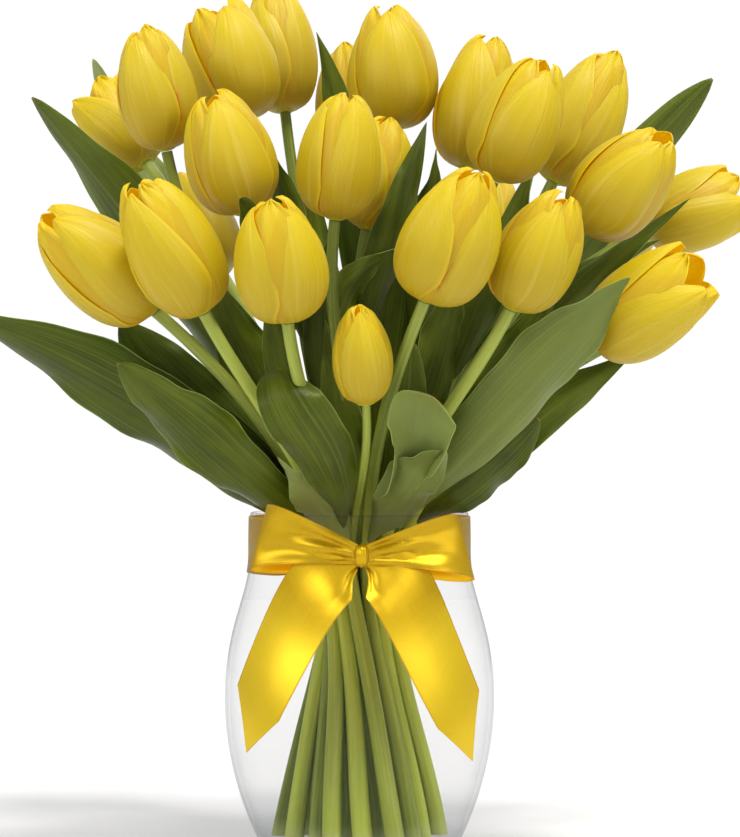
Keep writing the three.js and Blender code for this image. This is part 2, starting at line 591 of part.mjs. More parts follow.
// A tail lies down the front of the vase from the knot. Its end is cut to a point.
function tailSolid({ inner, line }) {
  const curve = new THREE.CubicBezierCurve3(...line);
  const length = curve.getLength();
  const surface = (u, v) => {
    const place = u < 0 ? -1 + (1 + TAIL_POINT) * (u + 1) : TAIL_POINT + (1 - TAIL_POINT) * u;
    const along = v * (1 - (abs(u) * TAIL_CUT) / length);
    const middle = curve.getPoint(along);
    const way = curve.getTangent(along);
    const half = (RIBBON_WIDTH / 2) * min(GATHERED_SHARE + OPENING * along, 1) * inner * place;
    const sideways = new THREE.Vector2(-way.z, way.x).normalize().multiplyScalar(half);
    const height = middle.z + sideways.y;
    const angle = (middle.x + sideways.x) / vaseRadius(height);
    const out = vaseRadius(height) + middle.y;
    return V(out * sin(angle), -out * cos(angle), height);
  };
  return strip((u, v) => surface(inner * u, v), 2, 7, RIBBON_THICKNESS);
}

function knotSolid() {
  const ball = new THREE.SphereGeometry(1, 8, 5).scale(...KNOT_SIZE.toArray());
  return solidOf(ball.translate(...KNOT.toArray()));
}

// ---- Materials and assembly ----
const look = (color, roughness, more = {}) => new THREE.MeshStandardMaterial({ color, roughness, ...more });
const glass = look(0xdfe8ea, 0.05, { transparent: true, opacity: 0.35 });
const petal = look(0xf2c52b, 0.55);
const green = look(0x6f8a3a, 0.6);
const satin = look(0xe2b41f, 0.35);

const bouquet = new THREE.Group();
bouquet.name = "tulips_in_a_vase";
bouquet.add(meshOf("vase", turned(vaseProfile()), glass));
bouquet.add(meshOf("ribbon_band", bandSolid(), satin));
const bow = joined([knotSolid(), ...LOOPS.map(loopSolid), ...TAILS.map(tailSolid)]);
bouquet.add(meshOf("ribbon_bow", bow, satin));

const places = placesAtTie();
TULIPS.forEach((tulip, index) => {
  const line = stemLine(tulip, places[index]);
  const stem = rod(stemStations(line, tulip.slim), STEM_SIDES);
  bouquet.add(meshOf(`${tulip.name}_stem`, joined([stem, ...leafSolids(tulip.name, line)]), green));
  bouquet.add(meshOf(`${tulip.name}_bloom`, bloomSolid(tulip, index), petal));
});

export default bouquet;
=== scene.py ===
# %% [markdown]
# # Yellow tulips in a clear glass vase
#
# Twenty-four tulips stand in a small gathering vase, tied at the neck with one satin ribbon. This lesson
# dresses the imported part: every bloom, stem, leaf, ribbon and the glass is a surface worked out with numpy,
# laid over the plain solid that it stands for. The model's lengths are chosen in millimetres and go into the
# meshes in metres. The origin is the middle of the vase's underside and the bow faces -Y.

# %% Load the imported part
import math
from functools import partial
from itertools import combinations

import bpy
import numpy as np
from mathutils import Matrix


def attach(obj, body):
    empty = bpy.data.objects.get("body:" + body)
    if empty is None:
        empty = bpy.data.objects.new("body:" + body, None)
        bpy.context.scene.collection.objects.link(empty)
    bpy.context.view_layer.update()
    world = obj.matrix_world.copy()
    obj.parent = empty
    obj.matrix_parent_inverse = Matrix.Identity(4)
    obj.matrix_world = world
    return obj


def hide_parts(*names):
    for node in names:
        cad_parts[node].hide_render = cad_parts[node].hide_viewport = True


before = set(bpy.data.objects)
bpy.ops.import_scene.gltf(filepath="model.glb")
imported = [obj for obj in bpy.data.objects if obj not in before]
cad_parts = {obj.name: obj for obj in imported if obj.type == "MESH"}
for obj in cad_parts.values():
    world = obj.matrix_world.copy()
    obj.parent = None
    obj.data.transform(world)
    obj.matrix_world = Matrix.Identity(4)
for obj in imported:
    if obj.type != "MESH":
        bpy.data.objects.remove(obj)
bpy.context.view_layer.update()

MM = 0.001

# %% [markdown]
# ## The picture
#
# The picture looks straight along +Y from nearly two metres away, a little above the ribbon, with the vase's
# foot just below its edge. A long lens keeps the stems parallel. The camera is made first, so that each piece
# can be judged from it as it appears.

# %% The camera
camera_data = bpy.data.cameras.new("camera")
camera_data.sensor_fit = "VERTICAL"
camera_data.sensor_height = 36
camera_data.lens = 129
camera = bpy.data.objects.new("camera", camera_data)
camera.location = (0.0063, -1.8, 0.26)
camera.rotation_euler = (math.pi / 2, 0, 0)
bpy.context.scene.collection.objects.link(camera)
bpy.context.scene.camera = camera
print("camera", tuple(round(x, 4) for x in camera.location))

# %% [markdown]
# ## Soft studio light
#
# Petals look silky under one broad soft light from high up, a little to the right and in front of them. A sun
# lamp with a wide disc does that, and gives shadows with soft edges, as a large softbox does. Weaker area
# lamps at both sides and behind keep the shadows open. The view is set to Standard, because it keeps a strong
# yellow as it is.

# %% The lamps
def lamp(name, kind, energy, place, aim, **more):
    """A lamp at place, in metres, that shines towards aim."""
    data = bpy.data.lights.new(name, kind)
    data.energy = energy
    for key, value in more.items():
        setattr(data, key, value)
    made = bpy.data.objects.new(name, data)
    made.location = place
    way = np.array(aim, float) - np.array(place, float)
    tilt = math.atan2(math.hypot(way[0], way[1]), -way[2])
    heading = math.atan2(way[1], way[0]) - math.pi / 2
    made.rotation_euler = (tilt, 0, heading)
    bpy.context.scene.collection.objects.link(made)
    print("lamp", name, kind, energy)


lamp("key", "SUN", 3.2, (0.55, -0.7, 2.5), (0, 0, 0.3), angle=math.radians(16), color=(1.0, 0.98, 0.94))
lamp("left", "AREA", 12, (-1.3, -1.3, 1.1), (0, 0, 0.3), size=0.9)
lamp("right", "AREA", 6, (1.2, -1.5, 0.8), (0, 0, 0.25), size=0.8)
lamp("rim", "AREA", 4, (0.6, 1.4, 1.3), (0, 0, 0.35), size=1.0)
bpy.context.scene.view_settings.view_transform = "Standard"

# %% [markdown]
# ## A shorthand for shader maths
#
# A finish is a small net of shader nodes. Wire stands for one output socket, and sums and products written on
# wires add the Math nodes. Net.node makes every other node from its type, its settings and its inputs.

# %% Wires
class Wire:
    """One output socket of a shader node, which can be added, multiplied and so on."""

    def __init__(self, net, socket):
        self.net = net
        self.socket = socket

    def maths(self, operation, *values):
        return self.net.node("ShaderNodeMath", {"operation": operation}, dict(enumerate(values)))

    def __add__(self, other):
        return self.maths("ADD", self, other)

    __radd__ = __add__

    def __mul__(self, other):
        return self.maths("MULTIPLY", self, other)

    __rmul__ = __mul__

    def __sub__(self, other):
        return self.maths("SUBTRACT", self, other)

    def __rsub__(self, other):
        return self.maths("SUBTRACT", other, self)

    def __pow__(self, power):
        return self.maths("POWER", self, power)

    def __abs__(self):
        return self.maths("ABSOLUTE", self)

    def between(self, low, high):
        """0 below low, 1 above high, and a smooth step from one to the other; high may be the lower one."""
        sockets = {"Value": self, "From Min": low, "From Max": high}
        return self.net.node("ShaderNodeMapRange", {"interpolation_type": "SMOOTHSTEP"}, sockets)


# %% Nets and finishes
MIX_SHARE, MIX_FIRST, MIX_SECOND, MIX_RESULT = 0, 6, 7, 2  # a Mix node's sockets where it mixes colours


def set_stops(ramp, stops):
    """A ramp starts with two stops: the others are added first, and then all get their place and colour."""
    for position, _ in stops[2:]:
        ramp.elements.new(position)
    for stop, (position, colour) in zip(ramp.elements, stops):
        stop.position = position
        stop.color = colour


class Net:
    """The shader nodes of a material or of the world."""

    def __init__(self, tree):
        self.tree = tree
        tree.nodes.clear()

    def node(self, kind, settings=(), sockets=(), output=0):
        """One node: its settings are set first, then the values or links of its sockets."""
        made = self.tree.nodes.new(kind)
        for key, value in dict(settings).items():
            if key == "stops":
                set_stops(made.color_ramp, value)
            else:
                setattr(made, key, value)
        for key, value in dict(sockets).items():
            if isinstance(value, Wire):
                self.tree.links.new(value.socket, made.inputs[key])
            else:
                made.inputs[key].default_value = value
        return Wire(self, made.outputs[output])

    def end(self, kind, shader):
        """The node that the whole net leads to."""
        self.tree.links.new(shader.socket, self.tree.nodes.new(kind).inputs["Surface"])

    def mix(self, share, first, second):
        """The first colour where share is 0 and the second where it is 1."""
        sockets = {MIX_SHARE: share, MIX_FIRST: first, MIX_SECOND: second}
        return self.node("ShaderNodeMix", {"data_type": "RGBA"}, sockets, MIX_RESULT)

    def layers(self, colour, *others):
        """A colour with others laid over it in turn, each by its own share."""
        for share, other in others:
            colour = self.mix(share, colour, other)
        return colour

    def parts(self, wire, kind="ShaderNodeSeparateXYZ"):
        """The three numbers of a vector or a colour."""
        split = self.tree.nodes.new(kind)
        self.tree.links.new(wire.socket, split.inputs[0])
        return [Wire(self, output) for output in split.outputs]

    def position(self):
        """A point on the object, as a vector in metres."""
        return self.node("ShaderNodeTexCoord", output="Object")

    def height(self):
        """How high a point on the object is, in metres."""
        return self.parts(self.position())[2]

    def across_and_along(self):
        """The piece's own map: how far across it, from -1 to 1, and how far along it."""
        return self.parts(self.node("ShaderNodeUVMap", {"uv_map": "grain"}))[:2]

    def marks(self):
        """The three numbers that a piece carries at each of its points."""
        carried = self.node("ShaderNodeAttribute", {"attribute_name": "marks"})
        return self.parts(carried, "ShaderNodeSeparateColor")

    def vector(self, x, y, z):
        return self.node("ShaderNodeCombineXYZ", (), {0: x, 1: y, 2: z})

    def noise(self, where, scale, detail=2.0):
        return self.node("ShaderNodeTexNoise", (), {"Vector": where, "Scale": scale, "Detail": detail})


class Finish(Net):
    """A material being put together."""

    def __init__(self, name):
        self.material = bpy.data.materials.new(name)
        self.material.use_nodes = True
        super().__init__(self.material.node_tree)

    def surface(self, bump=None, bump_height=0.0, **sockets):
        """A Principled surface, with a bump of that height in metres."""
        if bump is not None:
            raised = {"Height": bump, "Strength": 1.0, "Distance": bump_height}
            sockets["Normal"] = self.node("ShaderNodeBump", (), raised)
        named = {key.replace("_", " "): value for key, value in sockets.items()}
        self.end("ShaderNodeOutputMaterial", self.node("ShaderNodeBsdfPrincipled", (), named))
        print("finish", self.material.name, "of", len(self.tree.nodes), "nodes")
        return self.material


def paint(red, green, blue):
    """A colour as it looks on a screen, from 0 to 255, as the linear values that a shader works with."""
    shown = np.array([red, green, blue]) / 255
    linear = np.where(shown <= 0.04045, shown / 12.92, ((shown + 0.055) / 1.055) ** 2.4)
    return (*linear.tolist(), 1.0)


# %% [markdown]
# ## The white room and the floor
#
# The camera sees plain white behind the flowers. As a light, the same room is a grey that changes with
# height: dim below, so that the undersides of the blooms turn golden, and brightest somewhat above eye level.
# The floor is a pale disc with a faint glow of its own, so that it runs into the white without a hard edge.

# %% The white room
world = bpy.data.worlds.new("white room")
bpy.context.scene.world = world
world.use_nodes = True
room = Net(world.node_tree)
upward = room.parts(room.node("ShaderNodeTexCoord", output="Generated"))[2]
share_up = room.node("ShaderNodeMapRange", (), {"Value": upward, "From Min": -1})
greys = [
    (0.3, (0.22, 0.22, 0.23, 1)),
    (0.5, (0.42, 0.43, 0.45, 1)),
    (0.7, (0.75, 0.75, 0.75, 1)),
    (0.95, (0.6, 0.6, 0.6, 1)),
]
room_light = room.node("ShaderNodeValToRGB", {"stops": greys}, {0: share_up})
seen_directly = room.node("ShaderNodeLightPath", output="Is Camera Ray")
wall = room.mix(seen_directly, room_light, (1, 1, 1, 1))
room.end("ShaderNodeOutputWorld", room.node("ShaderNodeBackground", (), {"Color": wall, "Strength": 1.02}))
print("room greys from below to above:", [grey[1] for _, grey in greys])

# %% The floor
FLOOR_RADIUS, FLOOR_SIDES = 2.5, 96
pale_floor = Finish("pale floor")
x, y, _ = pale_floor.parts(pale_floor.position())
far = (x**2 + y**2).between(0.3, 4.0)
cloudy = pale_floor.noise(pale_floor.position(), 3.0)
floor_material = pale_floor.surface(
    Base_Color=pale_floor.mix(cloudy, (0.56, 0.56, 0.565, 1), (0.575, 0.575, 0.58, 1)),
    Roughness=0.8,
    Emission_Color=pale_floor.mix(far, (0.16, 0.16, 0.16, 1), (0.14, 0.14, 0.14, 1)),
    Emission_Strength=1.0,
)
turn = np.linspace(0, 2 * np.pi, FLOOR_SIDES, endpoint=False)
rim = np.stack([FLOOR_RADIUS * np.cos(turn), FLOOR_RADIUS * np.sin(turn), 0 * turn], axis=1)
floor_mesh = bpy.data.meshes.new("floor")
floor_mesh.from_pydata(rim.tolist(), [], [list(range(FLOOR_SIDES))])
floor_mesh.materials.append(floor_material)
floor = bpy.data.objects.new("floor", floor_mesh)
bpy.context.scene.collection.objects.link(floor)
print("floor radius", FLOOR_RADIUS, "m")

# %% [markdown]
# ## From grids of points to closed meshes
#
# A petal, a leaf or a ribbon is a surface over a grid, given a front, a back and a rim. A stem, a knot or
# the vase is a stack of rings, closed at both ends. Both come back as a Shape: points, faces, the map across
# and along, and three marks a point for the finishes to read. Shapes are joined before they become one mesh.

# %% Shapes
class Shape:
    """Points in millimetres, four-cornered faces and, at each point, the map and the marks."""

    def __init__(self, points, faces, grain, marks, slot=0):
        self.points = points
        self.faces = faces
        self.grain = grain
        self.marks = marks
        self.slots = np.full(len(faces), slot)


def joined(shapes):
    """Several shapes as one."""
    starts = np.cumsum([0] + [len(s.points) for s in shapes[:-1]])
    faces = np.concatenate([s.faces + start for s, start in zip(shapes, starts)])
    points, grain, marks = (
        np.concatenate([getattr(s, key) for s in shapes]) for key in ("points", "grain", "marks"))
    whole = Shape(points, faces, grain, marks)
    whole.slots = np.concatenate([s.slots for s in shapes])
    return whole


def grid(columns, rows):
    """Across from -1 to 1 and along from 0 to 1, as two arrays of rows by columns."""
    return np.meshgrid(np.linspace(-1, 1, columns), np.linspace(0, 1, rows))


def facing(points):
    """The unit direction that a grid of points faces: its step across times its step along."""
    normal = np.cross(np.gradient(points, axis=1), np.gradient(points, axis=0))
    return normal / np.maximum(np.linalg.norm(normal, axis=2, keepdims=True), 1e-9)


def sheet(points, thickness, grain, marks, slot=0):
    """A closed sheet: the grid moved half its thickness either way along its normal, and a rim all round.

    The two marks go to both sides, and the third one is 0 on the front and 1 on the back."""
    rows, columns = points.shape[:2]
    count = rows * columns
    away = facing(points) * (np.broadcast_to(thickness, (rows, columns))[..., None] / 2)
    both = np.concatenate([(points + away).reshape(-1, 3), (points - away).reshape(-1, 3)])
    index = np.arange(count).reshape(rows, columns)
    a, b, c, d = index[:-1, :-1], index[:-1, 1:], index[1:, 1:], index[1:, :-1]
    front = np.stack([a, b, c, d], axis=-1).reshape(-1, 4)
    back = np.stack([a, d, c, b], axis=-1).reshape(-1, 4) + count
    edge = np.concatenate([index[0, :-1], index[:-1, -1], index[-1, :0:-1], index[:0:-1, 0]])
    after = np.roll(edge, -1)
    rim = np.stack([edge, edge + count, after + count, after], axis=-1)
    first, second = (np.tile(np.broadcast_to(mark, (rows, columns)).ravel(), 2) for mark in marks)
    marks = np.stack([first, second, np.repeat([0.0, 1.0], count)], axis=-1)
    grain = np.tile(np.stack(grain, axis=-1).reshape(-1, 2), (2, 1))
    return Shape(both, np.concatenate([front, back, rim]), grain, marks, slot)


def rings(points, grain, marks):
    """A closed solid through a stack of rings, with a point in the middle of each end.

    The points of a ring run anticlockwise as seen from the end of the stack."""
    count, sides = points.shape[:2]
    index = np.arange(count * sides).reshape(count, sides)
    after = np.roll(index, -1, axis=1)
    walls = np.stack([index[:-1], after[:-1], after[1:], index[1:]], axis=-1).reshape(-1, 4)
    one = np.arange(0, sides, 2)
    two, three = (one + 1) % sides, (one + 2) % sides
    foot, top = np.full(len(one), count * sides), np.full(len(one), count * sides + 1)
    low = np.stack([foot, index[0][three], index[0][two], index[0][one]], axis=-1)
    high = np.stack([top, index[-1][one], index[-1][two], index[-1][three]], axis=-1)
    middles = np.stack([points[0].mean(axis=0), points[-1].mean(axis=0)])
    points = np.concatenate([points.reshape(-1, 3), middles])
    grain = np.stack(grain, axis=-1).reshape(-1, 2)
    grain = np.concatenate([grain, grain[[0, -1]]])
    marks = np.broadcast_to(np.array(marks, float), (len(points), 3))
    return Shape(points, np.concatenate([walls, low, high]), grain, marks)


# %% Meshes
SHARP_ANGLE = math.radians(55)  # an edge that turns more than this is drawn sharp


def piece(name, shape, materials, node):
    """The shape as a mesh object that rides on the part and stands for one of its nodes."""
    mesh = bpy.data.meshes.new(name)
    mesh.vertices.add(len(shape.points))
    mesh.vertices.foreach_set("co", (shape.points * MM).astype(np.float32).ravel())
    mesh.loops.add(shape.faces.size)
    mesh.loops.foreach_set("vertex_index", shape.faces.astype(np.int32).ravel())
    mesh.polygons.add(len(shape.faces))
    mesh.polygons.foreach_set("loop_start", np.arange(0, shape.faces.size, 4, dtype=np.int32))
    mesh.polygons.foreach_set("material_index", shape.slots.astype(np.int32))
    mesh.update(calc_edges=True)
    layer = mesh.uv_layers.new(name="grain")
    layer.data.foreach_set("uv", shape.grain[shape.faces.ravel()].astype(np.float32).ravel())
    marks = mesh.attributes.new("marks", "FLOAT_COLOR", "POINT")
    full = np.concatenate([shape.marks, np.ones((len(shape.marks), 1))], axis=1)
    marks.data.foreach_set("color", full.astype(np.float32).ravel())
    mesh.validate()
    for material in materials:
        mesh.materials.append(material)
    mesh.shade_smooth()
    mesh.set_sharp_from_angle(angle=SHARP_ANGLE)
    made = bpy.data.objects.new(name, mesh)
    bpy.context.scene.collection.objects.link(made)
    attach(made, "root")
    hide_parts(node)
    return made


# %% [markdown]
# ## Curves and directions
#
# Stems follow cubic curves and leaves quadratic ones, given by four or three points. Both are worked out for
# a whole array of shares at once, with their directions.

# %% Curves
def unit(vector):
    """The direction of a vector, or of each one in an array, with a length of 1."""
    return vector / np.linalg.norm(vector, axis=-1, keepdims=True)


def curve(points, share):
    """A Bezier curve's points and unit directions, by repeated straight steps between its control points."""
    share = np.asarray(share, float)[..., None]
    steps = [np.array(point, float) for point in points]
    while len(steps) > 2:
        steps = [a + (b - a) * share for a, b in zip(steps[:-1], steps[1:])]
    start, end = steps
    return start + (end - start) * share, unit(end - start)


# %% [markdown]
# ## The tulips and their leaves
#
# Each row is one flower or one leaf, with the places that the part's source gives it, but for two leaves
# that are moved a little to clear their neighbours. A bloom has the point where it sits on its stem, the
# point that its petals reach, its width, and how far its petals turn over. A leaf has the flower whose stem
# it grows on, how high it leaves it, a point in the middle of its rib, its tip, its width and the compass
# direction that its outer face turns to. Some tips fold over, one leaf furls, and some are paler.

# %% The flowers and leaves, in millimetres and degrees
def tulip(name, seat, tip, width, turn, slim=False):
    return {"name": name, "seat": np.array(seat, float), "tip": np.array(tip, float), "width": width,
            "turn": turn, "slim": slim}


def leaf(on, rise, via, tip, width, faces, widest=0.42, fold=0, furl=0, pale=0):
    return {"on": on, "rise": rise, "via": np.array(via, float), "tip": np.array(tip, float), "width": width,
            "faces": math.radians(faces), "widest": widest, "fold": fold, "furl": furl, "pale": pale}


TULIPS = [
    tulip("upright_left", (-114, -25, 418), (-128, -30, 489), width=46, turn=152),
    tulip("top_left", (-67, 30, 442), (-89, 38, 511), width=56, turn=134),
    tulip("top_behind", (-47, 88, 452), (-56, 102, 532), width=47, turn=150),
    tulip("top_middle", (22, 35, 436), (18, 40, 511), width=54, turn=148),
    tulip("peek_behind", (-3, 108, 424), (-8, 124, 498), width=46, turn=150),
    tulip("right_pair_back", (64, 32, 412), (80, 40, 492), width=51, turn=150),
    tulip("right_pair_front", (78, -54, 398), (108, -62, 466), width=51, turn=148),
    tulip("right_back", (117, 24, 403), (155, 36, 480), width=50, turn=150),
    tulip("right_shoulder", (130, -38, 370), (178, -52, 424), width=52, turn=145),
    tulip("far_right_open", (176, 44, 374), (234, 50, 398), width=50, turn=118),
    tulip("right_hidden", (136, 98, 356), (192, 122, 404), width=48, turn=148),
    tulip("low_right_open", (136, -48, 302), (198, -64, 346), width=54, turn=122),
    tulip("front_right", (37, -108, 326), (66, -132, 396), width=55, turn=150),
    tulip("front_right_outer", (86, -90, 322), (116, -106, 384), width=48, turn=150),
    tulip("middle", (-14, -72, 374), (-6, -84, 445), width=48, turn=150),
    tulip("middle_behind", (4, -10, 372), (17, -8, 438), width=44, turn=152),
    tulip("left_middle", (-66, -58, 378), (-84, -70, 446), width=51, turn=146),
    tulip("front_left", (-40, -112, 314), (-48, -136, 380), width=51, turn=150),
    tulip("left_front", (-88, -92, 320), (-124, -118, 391), width=52, turn=150),
    tulip("far_left", (-118, -58, 322), (-181, -78, 377), width=54, turn=150),
    tulip("left_behind", (-132, 62, 418), (-166, 80, 464), width=48, turn=116),
    tulip("front_bud", (4, -96, 268), (0, -116, 322), width=34, turn=158, slim=True),
    tulip("back_left", (-88, 110, 352), (-124, 140, 414), width=48, turn=148),
    tulip("back_right", (66, 118, 350), (92, 154, 414), width=48, turn=150),
]

LEAVES = [
    leaf("far_left", 186, (-116, -34, 260), (-234, -46, 322), width=54, faces=235, widest=0.55),
    leaf("left_front", 182, (-88, -54, 244), (-140, -66, 292), width=42, faces=240, widest=0.55),
    leaf("far_left", 200, (-96, -14, 264), (-142, -20, 318), width=46, faces=245, widest=0.55),
    leaf("left_behind", 235, (-114, 12, 350), (-198, 8, 454), width=42, faces=255, widest=0.6),
    leaf("back_left", 235, (-121, 84, 374), (-172, 134, 492), width=40, faces=130, widest=0.65),
    leaf("right_hidden", 260, (132, 66, 368), (222, 85, 474), width=40, faces=300, widest=0.6),
    leaf("right_shoulder", 240, (105, -12, 312), (198, -10, 392), width=26, faces=290),
    leaf("front_right_outer", 193, (102, -73, 285), (154, -98, 340), width=44, faces=285, widest=0.5,
         pale=0.45),
    leaf("low_right_open", 195, (98, -18, 256), (164, -22, 299), width=34, faces=280),
    leaf("low_right_open", 197, (68, -28, 226), (106, -36, 260), width=38, faces=290, widest=0.6),
    leaf("front_left", 192, (-21, -85, 239), (-60, -114, 290), width=40, faces=258, widest=0.7, fold=-18),
    leaf("front_left", 178, (-25, -50, 208), (-47, -75, 238), width=28, faces=256, pale=0.8),
    leaf("front_left", 197, (-16, -48, 212), (-30, -72, 246), width=22, faces=265),
    leaf("front_right", 200, (33, -70, 240), (37, -94, 288), width=46, faces=276, widest=0.8, fold=10,
         furl=2.4, pale=0.9),
    leaf("right_pair_front", 200, (23, -41, 245), (31, -59, 306), width=30, faces=275, widest=0.6, fold=-6),
    leaf("front_right", 186, (26, -60, 216), (50, -82, 248), width=32, faces=275, widest=0.6, fold=6,
         pale=0.5),
    leaf("far_right_open", 260, (108, 18, 325), (182, 10, 368), width=28, faces=290),
    leaf("middle", 270, (-12, -34, 325), (22, -38, 360), width=26, faces=275),
    leaf("middle", 240, (-22, -44, 312), (-12, -46, 372), width=26, faces=262),
    leaf("middle_behind", 290, (20, -36, 372), (40, -22, 436), width=24, faces=290),
    leaf("right_pair_back", 300, (42, 4, 365), (46, 0, 422), width=24, faces=280),
    leaf("peek_behind", 300, (-6, 58, 410), (-27, 60, 500), width=28, faces=270),
    leaf("right_back", 280, (82, -5, 350), (102, -8, 410), width=24, faces=270),
    leaf("left_middle", 300, (-52, -76, 345), (-70, -100, 400), width=28, faces=262, fold=10),
    leaf("top_left", 290, (-38, -8, 360), (-52, -15, 420), width=28, faces=270),
    leaf("upright_left", 215, (-62, -12, 285), (-88, -22, 345), width=42, faces=255),
    leaf("left_middle", 220, (-41, -41, 270), (-54, -60, 330), width=27, faces=260),
    leaf("middle", 205, (-10, -38, 262), (-20, -58, 318), width=26, faces=268),
    leaf("right_pair_front", 225, (44, -36, 290), (59, -54, 350), width=32, faces=280),
    leaf("right_shoulder", 230, (86, -36, 290), (114, -50, 338), width=30, faces=290),
    leaf("back_left", 186, (-60, 66, 260), (-116, 114, 318), width=34, faces=122),
    leaf("peek_behind", 186, (-12, 75, 270), (-25, 130, 335), width=38, faces=95),
    leaf("back_right", 212, (50, 72, 262), (98, 128, 322), width=36, faces=65),
    leaf("far_right_open", 186, (92, 28, 258), (165, 52, 310), width=36, faces=10),
    leaf("left_behind", 186, (-92, 14, 262), (-156, 30, 330), width=32, faces=175),
    leaf("right_hidden", 280, (88, 82, 345), (112, 104, 425), width=28, faces=60),
    leaf("middle_behind", 205, (4, -8, 280), (-6, -2, 352), width=38, faces=270),
    leaf("top_middle", 230, (16, 14, 318), (36, 16, 396), width=36, faces=275),
    leaf("top_behind", 240, (-24, 34, 330), (-34, 40, 424), width=34, faces=262),
]
print(len(TULIPS), "tulips and", len(LEAVES), "leaves")

# %% [markdown]
# ## The vase
#
# The real vase is blown glass about three millimetres thick: a rounded bowl that draws in to an upright neck,
# on a thick flat foot. Its outline is one formula of height, carried round the axis. Clear glass this thin
# hardly bends what is behind it. What the eye finds is its edge, where the wall is seen end on, so the finish
# lets light straight through the middle of the wall and closes up to a cool grey towards its edges.

# %% The outline of the glass
RIM_HEIGHT, WALL, RIM_ROUNDING = 204, 3, 1.4
BELLY_RADIUS, BELLY_HEIGHT, NECK_RADIUS, NECK_HEIGHT = 80.8, 92, 65.5, 180
FOOT_NARROWING, FOOT_FLAT_RADIUS, FOOT_ROUNDING = 20.5, 54, 7
FLOOR_HEIGHT, FLOOR_FLAT_RADIUS, FLOOR_CURVE_TOP = 9, 55, 20
VASE_SIDES = 128


def vase_radius(height):
    """The glass's outer radius: a parabola below the belly, and above it an S-shaped draw to the neck."""
    height = np.asarray(height, float)
    below = BELLY_RADIUS - FOOT_NARROWING * ((BELLY_HEIGHT - height) / (BELLY_HEIGHT - FOOT_ROUNDING)) ** 2
    climb = np.clip((height - BELLY_HEIGHT) / (NECK_HEIGHT - BELLY_HEIGHT), 0, 1) ** 1.3
    above = BELLY_RADIUS - (BELLY_RADIUS - NECK_RADIUS) * climb**2 * (3 - 2 * climb)
    return np.where(height < BELLY_HEIGHT, below, above)


def vase_profile():
    """Radius and height from the middle of the underside, up the outside, over the lip and down the inside.

    The foot, the lip and the edge of the inside floor are arcs of an ellipse."""
    quarter = np.linspace(0, np.pi / 2, 9)[1:-1]
    over = np.linspace(0, np.pi, 9)[1:-1]
    up = np.linspace(FOOT_ROUNDING, RIM_HEIGHT - RIM_ROUNDING, 64)
    down = np.linspace(RIM_HEIGHT - RIM_ROUNDING, FLOOR_CURVE_TOP, 56)
    foot_arc = float(vase_radius(FOOT_ROUNDING)) - FOOT_FLAT_RADIUS
    bowl_arc = float(vase_radius(FLOOR_CURVE_TOP)) - WALL - FLOOR_FLAT_RADIUS
    stretches = [
        ([0.5, 20, FOOT_FLAT_RADIUS], [0, 0, 0]),
        (FOOT_FLAT_RADIUS + foot_arc * np.sin(quarter), FOOT_ROUNDING * (1 - np.cos(quarter))),
        (vase_radius(up), up),
        (NECK_RADIUS - WALL / 2 + WALL / 2 * np.cos(over), RIM_HEIGHT - RIM_ROUNDING * (1 - np.sin(over))),
        (vase_radius(down) - WALL, down),
        (FLOOR_FLAT_RADIUS + bowl_arc * np.cos(quarter),
         FLOOR_CURVE_TOP - (FLOOR_CURVE_TOP - FLOOR_HEIGHT) * np.sin(quarter)),
        ([FLOOR_FLAT_RADIUS, 30, 0.5], [FLOOR_HEIGHT] * 3),
    ]
    radius, height = zip(*stretches)
    return np.concatenate(radius), np.concatenate(height)


def turned(radius, height, sides):
    """A profile carried round the axis. Its map measures the way along the profile, in metres."""
    angle = np.linspace(0, 2 * np.pi, sides, endpoint=False)
    around = np.broadcast_to(angle, (len(radius), sides))
    points = np.stack([radius[:, None] * np.cos(around), radius[:, None] * np.sin(around),
                       np.broadcast_to(height[:, None], around.shape)], axis=-1)
    walked = np.concatenate([[0], np.cumsum(np.hypot(np.diff(radius), np.diff(height)))]) * MM
    return rings(points, (around / np.pi - 1, np.repeat(walked[:, None], sides, axis=1)), (0, 0, 0))


# %% The glass finish
profile_radius, profile_height = vase_profile()
profile_steps = np.hypot(np.diff(profile_radius), np.diff(profile_height))
walked_to_lip = profile_steps[:np.argmax(profile_height)].sum() * MM  # from the middle of the underside
glass = Finish("clear glass")
seen_on_edge = glass.node("ShaderNodeLayerWeight", (), {"Blend": 0.5}, "Facing")
thick_foot = glass.height().between(0.016, 0.004)
rolled_lip = glass.height().between(0.2015, 0.2035)
low_down = glass.height().between(0.19, 0.02)
_, walked = glass.across_and_along()
outside = walked.between(walked_to_lip + 0.001, walked_to_lip - 0.001)
edge_line = (0.06 * seen_on_edge**3 + 0.92 * seen_on_edge**6) * (0.1 + 0.9 * outside)
closing = 0.03 + 0.045 * low_down + edge_line + 0.10 * thick_foot + 0.08 * rolled_lip
glass_material = glass.surface(
    bump=glass.noise(glass.position(), 14.0, 1.0), bump_height=0.0006,
    Base_Color=glass.mix(seen_on_edge**2, (0.02, 0.03, 0.06, 1), (0.17, 0.20, 0.24, 1)),
    Roughness=0.03,
    IOR=1.5,
    Alpha=closing,
)
vase_shape = turned(profile_radius, profile_height, VASE_SIDES)
vase = piece("vase_glass", vase_shape, [glass_material], "vase")
print("glass faces", len(vase.data.polygons))

# %% [markdown]
# ## Where the stems pass the ribbon
#
# Cut stems in a hand-tied bunch lie side by side at the tie and fan out below it in a loose twist. Each one
# first wants to pass the tie a little way out towards its own bloom. Pairs that come too close are then
# pushed apart, over and over, until all of them fit.

